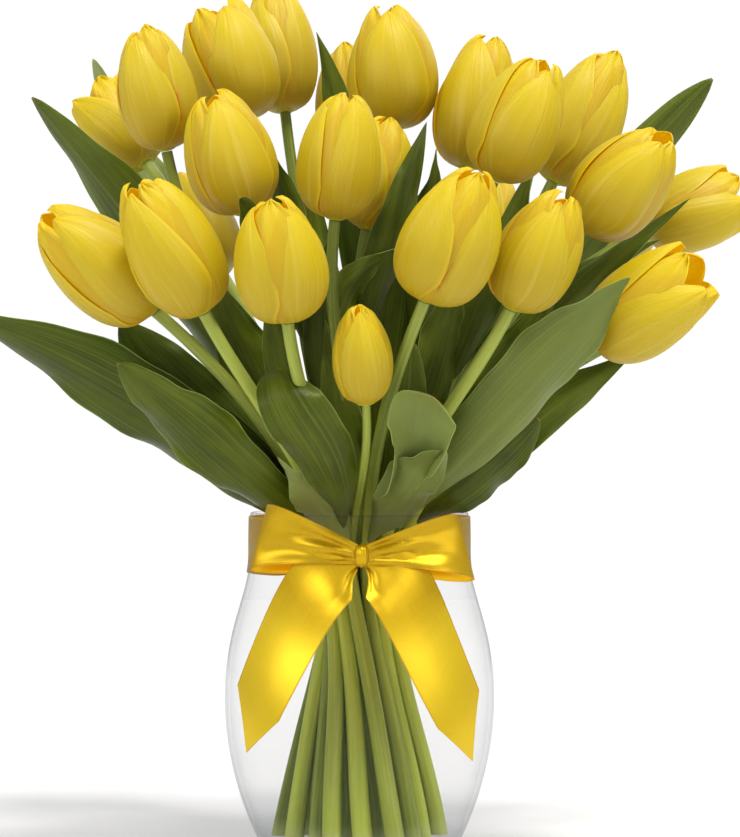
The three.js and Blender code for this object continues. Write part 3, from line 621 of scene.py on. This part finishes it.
# %% The bundle at the tie
TIE_HEIGHT, TIE_GATHERING, STEM_SPACING, PUSHES = 172, 0.14, 9.8, 300
FOOT_SPREAD, FOOT_REACH, FOOT_TWIST = 1.9, 48.5, math.radians(42)
TOUCH_GAP = 0.3
LOW_PULL, TIE_PULL, TOP_PULL = 0.4, 0.3, 0.34  # how far the inner points of a stem's curves lie along it


def places_at_tie():
    """Where each stem crosses the height of the tie, found by pushing close pairs apart by half each."""
    places = [[TIE_GATHERING * t["seat"][0], TIE_GATHERING * t["seat"][1]] for t in TULIPS]
    for _ in range(PUSHES):
        for one, other in combinations(places, 2):
            x, y = one[0] - other[0], one[1] - other[1]
            apart = math.hypot(x, y)
            if apart < STEM_SPACING:
                push = (STEM_SPACING - apart) / 2 / apart
                one[0], one[1] = one[0] + x * push, one[1] + y * push
                other[0], other[1] = other[0] - x * push, other[1] - y * push
    return places


def stem_line(flower, place):
    """The stem's two cubic curves: from its foot on the glass up to the tie, and from there to its bloom.

    The foot is the place at the tie, turned by the twist, spread, and kept on the flat of the floor."""
    x, y = place
    foot = np.array([x * math.cos(FOOT_TWIST) - y * math.sin(FOOT_TWIST),
                     x * math.sin(FOOT_TWIST) + y * math.cos(FOOT_TWIST)]) * FOOT_SPREAD
    foot *= min(1, FOOT_REACH / np.linalg.norm(foot))
    foot = np.array([*foot, FLOOR_HEIGHT + TOUCH_GAP])
    tie = np.array([x, y, TIE_HEIGHT], float)
    top = flower["seat"]
    axis = unit(flower["tip"] - top)
    reach = np.linalg.norm(top - tie)
    through = unit(unit(tie - foot) + unit(top - tie) + np.array([0, 0, 1.0]))
    low_bend = foot + (tie - foot) * LOW_PULL
    tie_bend = tie - through * TIE_PULL * (TIE_HEIGHT - FLOOR_HEIGHT)
    high_bends = [tie + through * TOP_PULL * reach, top - axis * TOP_PULL * reach]
    return [foot, low_bend, tie_bend, tie], [tie, *high_bends, top]


lines = {flower["name"]: stem_line(flower, place) for flower, place in zip(TULIPS, places_at_tie())}
print("stems", len(lines))

# %% [markdown]
# ## Stems
#
# A tulip's stem is smooth and fleshy, pale green, a little ribbed, and thicker at its cut end. It is a tube
# along its two curves. Its finish is striped along its length by noise that is stretched along the stem,
# greyer under the bloom and yellower in the vase, and pale at the cut. Thin pale lines along it are painted
# highlights.

# %% Stem shapes
STEM_RADIUS, FOOT_GIRTH, TOP_GIRTH, BUD_GIRTH = 4.0, 1.45, 0.9, 0.7
LEAST_GIRTH, GIRTH_RANGE = 0.86, 0.22
STEM_BOW = 1.5  # how far a stem bows out of its line between its foot and the tie
STEM_SIDES, FLUTES = 20, 0.035


def tube(centres, along, radii, marks):
    """Rings round a curve, square to it but for the first, which is cut level.

    A ring's radius is multiplied by 1 plus FLUTES times the cosine of five times the angle."""
    sideways = unit(np.array([0.0, 1.0, 0.0]) - along * along[:, 1:2])
    across = np.cross(along, sideways)
    angle = np.linspace(0, 2 * np.pi, STEM_SIDES, endpoint=False)
    radius = radii[:, None] * (1 + FLUTES * np.cos(5 * angle))
    offset = (sideways[:, None] * (radius * np.cos(angle))[..., None]
              + across[:, None] * (radius * np.sin(angle))[..., None])
    offset[0] -= along[0] * (offset[0][:, 2:3] / along[0][2])
    walked = np.concatenate([[0], np.cumsum(np.linalg.norm(np.diff(centres, axis=0), axis=1))]) * MM
    around = np.broadcast_to(angle / np.pi - 1, (len(centres), STEM_SIDES))
    return rings(centres[:, None] + offset, (around, np.repeat(walked[:, None], STEM_SIDES, axis=1)), marks)


def stem_shape(flower, tone):
    """A tube whose radius shrinks evenly from foot to tie and from tie to bloom.

    Below the tie it bows out by a squared sine, to a side that its tone gives."""
    lower, upper = lines[flower["name"]]
    below, above = np.linspace(0, 1, 22), np.linspace(0, 1, 26)[1:]
    low_centres, low_way = curve(lower, below)
    high_centres, high_way = curve(upper, above)
    bow = STEM_BOW * np.sin(np.pi * below) ** 2
    low_centres[:, 0] += bow * math.cos(40 * tone)
    low_centres[:, 1] += bow * math.sin(40 * tone)
    girth = np.concatenate([FOOT_GIRTH + (1 - FOOT_GIRTH) * below, 1 + (TOP_GIRTH - 1) * above])
    radii = STEM_RADIUS * girth * (BUD_GIRTH if flower["slim"] else LEAST_GIRTH + GIRTH_RANGE * tone)
    centres = np.concatenate([low_centres, high_centres])
    return tube(centres, np.concatenate([low_way, high_way]), radii, (tone, 0, 0))


# %% The stem finish
stems = Finish("tulip stem")
across, along = stems.across_and_along()
tone, _, _ = stems.marks()
stripes = stems.noise(stems.vector(across * 2.5, along * 9, tone * 40), 1.0, 4.0)
highlight_lines = stems.noise(stems.vector(across * 9, along * 7, tone * 90), 1.0, 2.0)
high = stems.height().between(0.15, 0.36)
cut_end = stems.height().between(0.022, 0.010)
fresh = stems.mix(high, paint(178, 190, 72), paint(158, 168, 76))
deep = stems.mix(high, paint(66, 84, 8), paint(88, 102, 30))
stem_colour = stems.layers(
    stems.mix((0.7 * stripes + 0.75 * tone).between(0.3, 1.1), deep, fresh),
    # thin pale lines along the stem: painted highlights
    (highlight_lines.between(0.5, 0.72) * 0.22, paint(196, 204, 128)),
    (cut_end * 0.5, paint(190, 200, 130)),
)
stem_material = stems.surface(
    bump=stripes, bump_height=0.0012,
    Base_Color=stem_colour,
    Roughness=0.38 + 0.15 * stripes,
    Subsurface_Weight=0.12,
    Subsurface_Scale=0.004,
    Subsurface_Radius=(0.5, 1.0, 0.2),
    Specular_IOR_Level=0.35,
    Specular_Tint=(0.95, 1.0, 0.6, 1),
)

# %% [markdown]
# ## Leaves
#
# A tulip leaf is one broad blade that clasps the stem, with a waxy bloom, long parallel veins and a thin
# pale edge that waves in and out. The blade is a rib, bent through three points, with a cross-section that is
# rolled at the stem and opens towards the tip. The waves grow with the distance from the rib.

# %% Leaf shapes
LEAF_SINK, LEAF_BASE, LEAF_THICKNESS, LEAF_TWIST, FOLD_START = 1.5, 0.01, 0.7, 0.7, 0.68
LEAF_WAVE, LEAF_FRILL, LEAF_KEEL = 4.8, 1.4, 0.9
ROLL_PER_FOLD = 0.11  # how far a tip rolls over, in radians, for each millimetre that the part's leaf folds
LEAST_ROLL = 1e-3  # an arc this flat stands for a straight line


def rolled_tip(points, along, outward, angle):
    """A rib whose last part leaves its curve for an arc of that angle that bends outward.

    The arc is as long as the straight way from where it starts to the tip."""
    rib, way = curve(points, along)
    if angle == 0:
        return rib, way
    start, heading = curve(points, FOLD_START)
    length = np.linalg.norm(np.array(points[-1]) - start)
    over = unit(outward - heading * (heading @ outward))
    turned_by = angle * np.clip((along - FOLD_START) / (1 - FOLD_START), 0, 1)[..., None]
    arc = start + length / angle * (heading * np.sin(turned_by) + over * (1 - np.cos(turned_by)))
    arc_way = heading * np.cos(turned_by) + over * np.sin(turned_by)
    beyond = along[..., None] > FOLD_START
    return np.where(beyond, arc, rib), np.where(beyond, arc_way, way)


def leaf_half_width(blade, along):
    """Two powers, of the way to the tip and of the way to the foot, that meet at the widest place."""
    widest = blade["widest"]
    towards_tip = ((1 - along) / (1 - widest)) ** (1.7 * (1 - widest))
    towards_foot = ((along + LEAF_BASE) / (widest + LEAF_BASE)) ** (1.3 * widest)
    return blade["width"] / 2 * towards_tip * towards_foot


def leaf_points(blade, number, across, along):
    """The rib's point, plus the half width laid out on an arc, plus a lift square to the blade.

    The arc opens from the stem to the tip, or bends the other way where the leaf furls. The lift is slow
    waves and a fine frill, which grow towards the edges, and a keel along the rib. The blade twists towards
    its tip."""
    _, upper = lines[blade["on"]]
    fine = np.linspace(0, 1, 400)
    climbing, _ = curve(upper, fine)
    share = np.interp(blade["rise"], climbing[:, 2], fine)
    outward = np.array([math.cos(blade["faces"]), math.sin(blade["faces"]), 0.0])
    foot, tip = curve(upper, share)[0] + outward * (STEM_RADIUS - LEAF_SINK), blade["tip"]
    bend = 2 * blade["via"] - (foot + tip) / 2
    rib, way = rolled_tip([foot, bend, tip], along, outward, ROLL_PER_FOLD * blade["fold"])
    level = unit(np.cross(tip - foot, outward))
    side = unit(level - way * (way @ level)[..., None])
    normal = np.cross(side, way)
    half = leaf_half_width(blade, along)
    roll = 0.45 + 1.7 * (1 - along) ** 4
    roll = roll - blade["furl"] * np.sin(np.pi / 2 * np.minimum(3 * along, 1)) * (1.4 - along)
    roll = np.where(np.abs(roll) < LEAST_ROLL, LEAST_ROLL, roll)
    twist = LEAF_TWIST * np.sin(2.4 * number + 0.6) * along**2
    side, normal = (side * np.cos(twist)[..., None] + normal * np.sin(twist)[..., None],
                    normal * np.cos(twist)[..., None] - side * np.sin(twist)[..., None])
    middle = np.sin(np.pi * along)
    wave = LEAF_WAVE * across**2 * middle * np.sin(2 * np.pi * (2.2 * along + 0.37 * number) + across)
    frill = LEAF_FRILL * across**4 * middle * np.sin(2 * np.pi * (6.5 * along + 0.21 * number) + 2 * across)
    keel = LEAF_KEEL * np.exp(-((across / 0.12) ** 2)) * np.sin(np.pi * along**0.7)
    lift = wave + frill + keel - half / roll * (1 - np.cos(across * roll))
    return rib + side * (half / roll * np.sin(across * roll))[..., None] + normal * lift[..., None]


def leaf_shape(blade, number, tone):
    """A closed blade, thinner towards its edges, that ends just short of the point of its tip."""
    across, row = grid(17, 49)
    along = 0.997 * row
    thickness = LEAF_THICKNESS * (1 - 0.55 * across**2)
    points = leaf_points(blade, number, across, along)
    return sheet(points, thickness, (across, along), (tone, blade["pale"]), slot=1)


# %% The leaf finish
leaves = Finish("tulip leaf")
across, along = leaves.across_and_along()
tone, pale, back = leaves.marks()
veins = leaves.noise(leaves.vector(across * 22, along * 1.0, tone * 60), 1.0, 2.0)
fine_veins = leaves.noise(leaves.vector(across * 70, along * 1.2, tone * 31), 1.0, 1.0)
clouds = leaves.noise(leaves.vector(across * 1.6, along * 4, tone * 17), 1.0, 3.0)
grey_green = leaves.mix(tone, paint(74, 84, 0), paint(106, 116, 24))
dark_green = leaves.mix(tone, paint(36, 46, 0), paint(56, 66, 0))
pale_edge = abs(across).between(0.965, 0.995)
dry_tip = along.between(0.985, 0.999)
leaf_colour = leaves.layers(
    leaves.mix((0.35 * veins + 0.7 * clouds).between(0.25, 0.85), dark_green, grey_green),
    (back * 0.5, paint(134, 146, 66)),
    (pale * 0.75, paint(146, 158, 86)),
    (veins.between(0.5, 0.85) * 0.16, paint(146, 160, 92)),
    (fine_veins.between(0.5, 0.72) * 0.12, paint(132, 146, 64)),
    (pale_edge * 0.5, paint(160, 176, 96)),
    (dry_tip * 0.8, paint(150, 118, 60)),
)
leaf_material = leaves.surface(
    bump=0.5 * veins + 0.5 * fine_veins, bump_height=0.0003,
    Base_Color=leaf_colour,
    Roughness=0.30 + 0.16 * clouds,
    Specular_IOR_Level=0.3,
    Specular_Tint=(0.88, 1.0, 0.6, 1),
    Subsurface_Weight=0.08,
    Subsurface_Scale=0.003,
    Subsurface_Radius=(0.4, 1.0, 0.15),
)

# %% Stems with their leaves
chance = np.random.default_rng(11)
green_faces = 0
for flower in TULIPS:
    shapes = [stem_shape(flower, chance.uniform(0.2, 0.8))]
    for number, blade in enumerate(LEAVES):
        if blade["on"] == flower["name"]:
            shapes.append(leaf_shape(blade, number, chance.uniform(0, 1)))
    name = flower["name"] + "_stem"
    made = piece(name + "_and_leaves", joined(shapes), [stem_material, leaf_material], name)
    green_faces += len(made.data.polygons)
print("stems and leaves:", green_faces, "faces")

# %% [markdown]
# ## Blooms
#
# A garden tulip just before it opens is an egg of six broad petals in two rings of three. The outer ones are
# so wide that each tucks an edge under the next, and the inner ones close the top. Each petal lies on a cup
# that swells and turns back in; its outline is nearly a rectangle that rounds to a blunt point. Light that
# falls through the petals is painted as a faint glow, stronger at rims and tips and on a petal's back and
# dull where petals overlap. The creases where a petal runs in under its neighbour are painted darker orange,
# as shade.

# %% Petal shapes
PETAL_SPIN = math.radians(47)  # how much further each bloom is turned than the one before
PETAL_FOOT_HEIGHT, PETAL_THICKNESS = 1.2, 0.6
NEXT_PETAL = 120  # degrees from one petal of a ring to the next
CROWDING = 1.5  # how much closer together a petal's rows lie towards its tip
INNER_SHADE = 0.65  # how much of the crease's shade an inner petal has
CREASE = 0.11  # how far the shade of a crease reaches out over a petal, as a share of half its width
RINGS = {
    "outer": {"foot_radius": 4.6, "length": 0.95, "radius": 0.92, "half": 71, "turned": 0.0,
              "closing": 9, "crumple": 0.5, "blunt": 4, "point": 0.72},
    "inner": {"foot_radius": 2.8, "length": 1.0, "radius": 0.81, "half": 64, "turned": np.pi / 3,
              "closing": 16, "crumple": 1.8, "blunt": 7, "point": 0.6},
}


def bloom_frame(flower):
    """The bloom's axis and two directions square to it."""
    axis = unit(flower["tip"] - flower["seat"])
    sideways = unit(np.array([1.0, 0, 0]) - axis * axis[0])
    return axis, sideways, np.cross(axis, sideways)


def petal_outline(ring, share):
    """How much of its full width a petal has: narrow at its foot, and narrowing late towards its tip."""
    return np.minimum(0.5 + 1.3 * share, 1) * np.maximum(1 - share ** ring["blunt"], 0) ** ring["point"]


def petal_shade(ring, across, row):
    """1 where a petal runs in under its neighbours, and less up to a little way out from under them.

    An outer petal runs in on one side under the next outer one, and an inner one on both sides."""
    share = 1 - (1 - row) ** CROWDING
    wide = np.maximum(ring["half"] * petal_outline(ring, share), 1e-3)
    if ring is RINGS["outer"]:
        return np.clip((-across - (NEXT_PETAL / wide - 1)) / CREASE + 1, 0, 1)
    outer_wide = RINGS["outer"]["half"] * petal_outline(RINGS["outer"], share)
    return INNER_SHADE * np.clip((np.abs(across) - (NEXT_PETAL / 2 - outer_wide) / wide) / CREASE + 1, 0, 1)


def petal_points(flower, ring, facing_to, across, row, draw):
    """A point at the cup's radius and height for its share of the cup's turn, swung round by its way across.

    The radius has a crease along the middle, an edge that dips in under its neighbour, slow folds and waves,
    a lip that turns at the edges, and a crumple at the tip. The draws, from -1 to 1, vary each petal."""
    share = 1 - (1 - row) ** CROWDING
    length = np.linalg.norm(flower["tip"] - flower["seat"]) * ring["length"] * (1 + 0.03 * draw[0])
    radius = flower["width"] / 2 * ring["radius"]
    start = math.asin(ring["foot_radius"] / radius)
    end = math.radians(flower["turn"] + ring["closing"] + 4 * draw[1])
    bend = start + (end - start) * share
    leaning = 0.10 * np.sin(2 * np.pi * share + 3 * facing_to) * share
    swung = facing_to + across * math.radians(ring["half"]) * petal_outline(ring, share) + leaning
    swell = 1 + 0.04 * across + 0.12 * (1 - across**2) - 0.13 * np.clip(-across - 0.45, 0, 1)
    middle = np.sin(np.pi * share)
    ridge = 0.6 * np.exp(-((across / 0.1) ** 2)) * (share**2 - 0.45)
    folds = 0.5 * np.sin(2 * np.pi * (1.2 * across + draw[2])) * middle
    waves = 0.6 * across**2 * np.sin(2 * np.pi * (1.7 * share + draw[2])) * middle
    lip = 0.7 * draw[3] * across**4 * middle**2
    crumple = ring["crumple"] * share**6 * np.sin(2 * np.pi * (1.6 * across + 2.2 * share + draw[3]))
    out = radius * np.sin(bend) * swell + (ridge + folds + waves + lip + crumple) * np.minimum(4 * share, 1)
    climb = length * ((1 - np.cos(bend)) / (1 - math.cos(end))) ** 1.3 + TOUCH_GAP + PETAL_FOOT_HEIGHT
    axis, sideways, beside = bloom_frame(flower)
    return (flower["seat"] + axis * climb[..., None]
            + sideways * (out * np.cos(swung))[..., None] + beside * (out * np.sin(swung))[..., None])


def petal_shape(flower, ring, number, spin, tone, draw):
    """A closed petal, thinner towards its edges, that ends just short of its point."""
    across, row = grid(19, 29)
    facing_to = spin + number * 2 * np.pi / 3 + ring["turned"] + 0.07 * draw[4]
    points = petal_points(flower, ring, facing_to, across, 0.995 * row, draw)
    thickness = PETAL_THICKNESS * (1 - 0.5 * across**2)
    return sheet(points, thickness, (across, row), (tone, petal_shade(ring, across, row)))


def seat_shape(flower):
    """The small rounded end of the stem that the petals grow from: a pear-shaped profile round the axis."""
    axis, sideways, beside = bloom_frame(flower)
    radius = np.array([0.4, 3.5, 5.3, 6.0, 5.6, 4.0, 2.0, 0.4])
    height = np.array([0, 0.1, 0.8, 1.8, 3.2, 5.4, 7.2, 8.0]) + TOUCH_GAP
    angle = np.linspace(0, 2 * np.pi, 24, endpoint=False)
    points = (flower["seat"] + axis * height[:, None, None]
              + sideways * (radius[:, None] * np.cos(angle))[..., None]
              + beside * (radius[:, None] * np.sin(angle))[..., None])
    around = np.broadcast_to(angle / np.pi - 1, points.shape[:2])
    return rings(points, (around, 0 * around), (0.5, 0, 0))


# %% The petal finish
petals = Finish("tulip petal")
across, along = petals.across_and_along()
tone, shade, back = petals.marks()
streaks = petals.noise(petals.vector(across * 9, along * 1.1, tone * 50), 1.0, 3.0)
fine_streaks = petals.noise(petals.vector(across * 45, along * 1.6, tone * 23), 1.0, 2.0)
rim = (1 - abs(across)).between(0.12, 0.0)
tip = along.between(0.7, 1.0)
green_foot = along.between(0.10, 0.0)
# Rims and tips are a deeper yellow, partly the petal's own colour and partly painted light through its thin
# edges. The two layers by shade are painted shade in the creases under the next petal.
petal_colour = petals.layers(
    petals.mix(along.between(0.05, 0.8), paint(166, 142, 20), paint(196, 171, 8)),
    (streaks.between(0.5, 0.8) * 0.35, paint(204, 182, 84)),
    (fine_streaks.between(0.5, 0.72) * 0.14, paint(176, 134, 0)),
    (rim * 0.3 + 0.4 * tip, paint(208, 172, 0)),
    (shade**2 * 0.65, paint(178, 126, 0)),
    (shade.between(0.66, 0.9) * 0.8, paint(184, 96, 0)),
    (green_foot * 0.75, paint(176, 178, 52)),
)
# The glow is painted light through the petals: most at rims and tips and on the backs, little in the creases.
glow = petals.layers(
    petals.mix(0.6 * rim + 0.5 * tip, (0.02, 0.012, 0.0, 1), (0.12, 0.08, 0.0, 1)),
    (shade**2, (0.025, 0.010, 0.0, 1)),
    (back, (0.26, 0.125, 0.0, 1)),
)
petal_material = petals.surface(
    bump=streaks + 0.35 * fine_streaks, bump_height=0.0006,
    Base_Color=petal_colour,
    Roughness=0.40 + 0.12 * streaks,
    Subsurface_Weight=0.3,
    Subsurface_Scale=0.004,
    Subsurface_Radius=(1.0, 0.6, 0.1),
    Specular_IOR_Level=0.3,
    Emission_Color=glow,
    Emission_Strength=1.0,
)

# %% Blooms on their stems
petal_faces = 0
for index, flower in enumerate(TULIPS):
    shapes = [seat_shape(flower)]
    for ring in RINGS.values():
        for number in range(3):
            tone, draw = chance.uniform(), chance.uniform(-1, 1, 5)
            shapes.append(petal_shape(flower, ring, number, index * PETAL_SPIN, tone, draw))
    name = flower["name"] + "_bloom"
    made = piece(name + "_petals", joined(shapes), [petal_material], name)
    petal_faces += len(made.data.polygons)
print("blooms:", petal_faces, "faces")

# %% [markdown]
# ## The ribbon
#
# One length of yellow satin goes once round the neck and is tied in a bow: a band, two loops, a knot and two
# tails cut to a point. Satin lies in broad soft curves and gathers into small pleats at the knot, so the
# loops and tails are surfaces with a pleat term that fades away from the knot.

# %% Ribbon shapes
RIBBON_THICKNESS, RIBBON_WIDTH = 0.7, 37
KNOT, KNOT_SIZE = np.array([1.5, -74.6, 181]), np.array([4.3, 5.2, 6.8])
BAND_BOTTOM, BAND_TOP = 168, 201.5
BAND_END, PINCH_ANGLE, PINCHED_SHARE = 0.002, math.radians(50), 0.4
LOOPS = [
    {"fold": np.array([-58, -53, 191]), "rise": 6, "bulge": 13},
    {"fold": np.array([62, -51, 185]), "rise": 6, "bulge": 13},
]
LOOP_LEAN = 0.26
TAILS = [
    {"inner": 1, "line": [(-2, 7, 178), (-26, 7, 173), (-40, 3, 128), (-77, 4, 71)]},
    {"inner": -1, "line": [(5, 7, 178), (27, 7, 173), (33, 3, 128), (78, 4, 66)]},
]
TAIL_CUT, TAIL_POINT, TAIL_WAVE, TAIL_HANG = 20, 0.43, 3.2, 7


def band_points(across, along):
    """Once round the neck from knot to knot: half the width opens as a squared sine of the way from the knot.

    It stands off the glass by the gap, gathers into pleats near the knot, and bellies a little elsewhere."""
    turn = 2 * np.pi * np.clip(along, BAND_END, 1 - BAND_END)
    from_knot = np.minimum(turn, 2 * np.pi - turn)
    opened = np.sin(np.pi / 2 * np.minimum(from_knot / PINCH_ANGLE, 1)) ** 2
    middle = (BAND_BOTTOM + BAND_TOP) / 2
    half = (BAND_TOP - BAND_BOTTOM) / 2 * (PINCHED_SHARE + (1 - PINCHED_SHARE) * opened)
    height = KNOT[2] + (middle - KNOT[2]) * opened + across * half
    pleats = 0.5 * (1 - opened) * (1 + np.cos(4.5 * np.pi * across))
    belly = 0.25 * opened * np.cos(np.pi / 2 * across)
    radius = vase_radius(height) + TOUCH_GAP + RIBBON_THICKNESS / 2 + pleats + belly
    return np.stack([radius * np.sin(turn), -radius * np.cos(turn), height], axis=-1)


def loop_points(loop, across, along):
    """Out from the knot to the fold and back behind, by a half sine; the first half bulges to the front.

    The width opens from the pinch at the knot, with pleats that fade as it opens. The front lies hollow."""
    fold, way = loop["fold"], np.sign(loop["fold"][0])
    out, front = np.sin(np.pi * along), np.sin(2 * np.pi * along)
    half = RIBBON_WIDTH / 2 * (0.28 + 0.76 * out)
    lean = np.stack([-LOOP_LEAN * way * out, 0 * out, 1 + 0 * out], axis=-1)
    pleat = 2.0 * np.cos(2.3 * np.pi * across + 0.8) * (1 - out) * np.minimum(out * 4, 1)
    hollow = (-3.0 * (1 - across**2) + 2.4 * across) * out * np.clip(front, 0, 1)
    hollow = hollow + 1.3 * np.sin(2 * np.pi * (1.1 * out + 0.45 * across)) * out * (1 - out) * 4
    forward = loop["bulge"] * (front + out) / 2 + pleat + hollow
    points = KNOT + (fold - KNOT) * out[..., None]
    points = points + np.array([0, 0, 1]) * (loop["rise"] * front / 2)[..., None]
    points = points + np.array([0, -1, 0]) * forward[..., None]
    return points - unit(lean) * (way * across * half)[..., None]


def tail_points(tail, across, along):
    """A strip along a cubic line of (way round the glass, distance off it, height), wrapped on the glass.

    It stops short at its edges, so that its end is a point. Two soft waves push it to the front, and towards
    its end it hangs further forward still."""
    inner, line = tail["inner"], tail["line"]
    u = inner * across
    fine = np.linspace(0, 1, 60)
    length = np.linalg.norm(np.diff(curve(line, fine)[0], axis=0), axis=1).sum()
    place = np.where(u < 0, -1 + (1 + TAIL_POINT) * (u + 1), TAIL_POINT + (1 - TAIL_POINT) * u)
    reach = along * (1 - np.abs(u) * TAIL_CUT / length)
    middle, way = curve(line, reach)
    half = RIBBON_WIDTH / 2 * np.minimum(0.3 + 3.2 * reach, 1) * inner * place
    flat_way = unit(np.stack([-way[..., 2], way[..., 0]], axis=-1))
    height = middle[..., 2] + flat_way[..., 1] * half
    radius = vase_radius(height)
    angle = (middle[..., 0] + flat_way[..., 0] * half) / radius
    pleat = 1.0 * np.cos(2.2 * np.pi * across) * np.clip(1 - 2.5 * reach, 0, 1)
    curl = 1.2 * across**2 * np.sin(np.pi * reach)
    off_glass = radius + middle[..., 1] + np.maximum(pleat + curl, -1.2) + 0.8
    wave = TAIL_WAVE * (1 - np.cos(3.3 * np.pi * reach)) * (0.8 + 0.2 * across * inner)
    forward = wave + TAIL_HANG * reach**3
    return np.stack([off_glass * np.sin(angle), -off_glass * np.cos(angle) - forward, height], axis=-1)


def strip_shape(points_of, columns, rows, turned_over=False, shade=0, lit=0):
    """A closed ribbon strip, with its map measured in widths of ribbon along it, and its length.

    A strip whose grid would face the glass is turned over, so that its first side is the one that shows. Its
    marks say how deep in shade it lies, and how brightly the light falls on its second half."""
    across, along = grid(columns, rows)
    points = points_of(-across if turned_over else across, along)
    length = np.linalg.norm(np.diff(points[:, columns // 2], axis=0), axis=1).sum()
    marks = (shade, lit * np.clip((along - 0.45) / 0.2, 0, 1))
    return sheet(points, RIBBON_THICKNESS, (across, along * length / RIBBON_WIDTH), marks), length


def knot_shape():
    """The knot: a short pleated wrap, fullest in its middle and tucked in at both ends."""
    sides, count = 48, 23
    angle = np.linspace(0, 2 * np.pi, sides, endpoint=False)
    across = np.linspace(-0.985, 0.985, count)[:, None]
    full = (1 - np.abs(across) ** 3.2) ** 0.45
    pleats = 1 + 0.06 * np.cos(3.4 * np.pi * across + 0.6) * (0.7 + 0.3 * np.cos(angle + 0.5))
    x = np.broadcast_to(across, (count, sides))
    shape = np.stack([x, full * pleats * np.cos(angle), full * pleats * np.sin(angle)], axis=-1)
    return rings(KNOT + KNOT_SIZE * shape, (x, np.broadcast_to(angle / np.pi, x.shape)), (0, 0, 0))


# %% The satin finish
satin = Finish("yellow satin")
across, along = satin.across_and_along()
shade, lit, back = satin.marks()
thread = satin.noise(satin.vector(across * 110, along * 1.5, 0.0), 1.0, 1.0)
slub = satin.noise(satin.vector(across * 1.5, along * 120, 4.0), 1.0, 1.0)
woven_edge = abs(across).between(0.955, 0.985)
satin_colour = satin.layers(
    satin.mix((0.5 * thread + 0.5 * slub).between(0.35, 0.65), paint(194, 154, 4), paint(206, 170, 10)),
    (shade * 0.45, paint(130, 94, 0)),
    (lit * 0.45, paint(240, 210, 44)),
    (woven_edge * 0.5, paint(180, 130, 4)),
)
satin_material = satin.surface(
    bump=0.5 * thread + 0.3 * slub + 2 * woven_edge, bump_height=0.00004,
    Base_Color=satin_colour,
    Roughness=0.33 + 0.06 * slub,
    Metallic=0.7,
    Specular_IOR_Level=0.5,
    # The backs of the strips, such as the inner faces of the loops, glow a painted orange for light shining
    # through the satin.
    Emission_Color=satin.mix(back, (0.0, 0.0, 0.0, 1), (0.30, 0.14, 0.0, 1)),
    Emission_Strength=1.0,
)

# %% The ribbon on the neck
band_strip, band_length = strip_shape(band_points, 13, 193, turned_over=True, shade=1)
band = piece("ribbon_band_satin", band_strip, [satin_material], "ribbon_band")
print("band length, mm:", round(band_length))
strips = [strip_shape(partial(loop_points, loop), 19, 81, shade=0.4) for loop in LOOPS]
strips += [strip_shape(partial(tail_points, tail), 19, 61, turned_over=True, lit=1) for tail in TAILS]
knot = piece("ribbon_knot_satin", knot_shape(), [satin_material], "ribbon_bow")
bow_strips = joined([shape for shape, _ in strips])
bow = piece("ribbon_bow_satin", bow_strips, [satin_material], "ribbon_bow")
bow_length = sum(length for _, length in strips)
print("bow strip lengths, mm:", [round(length) for _, length in strips], "in all", round(bow_length))
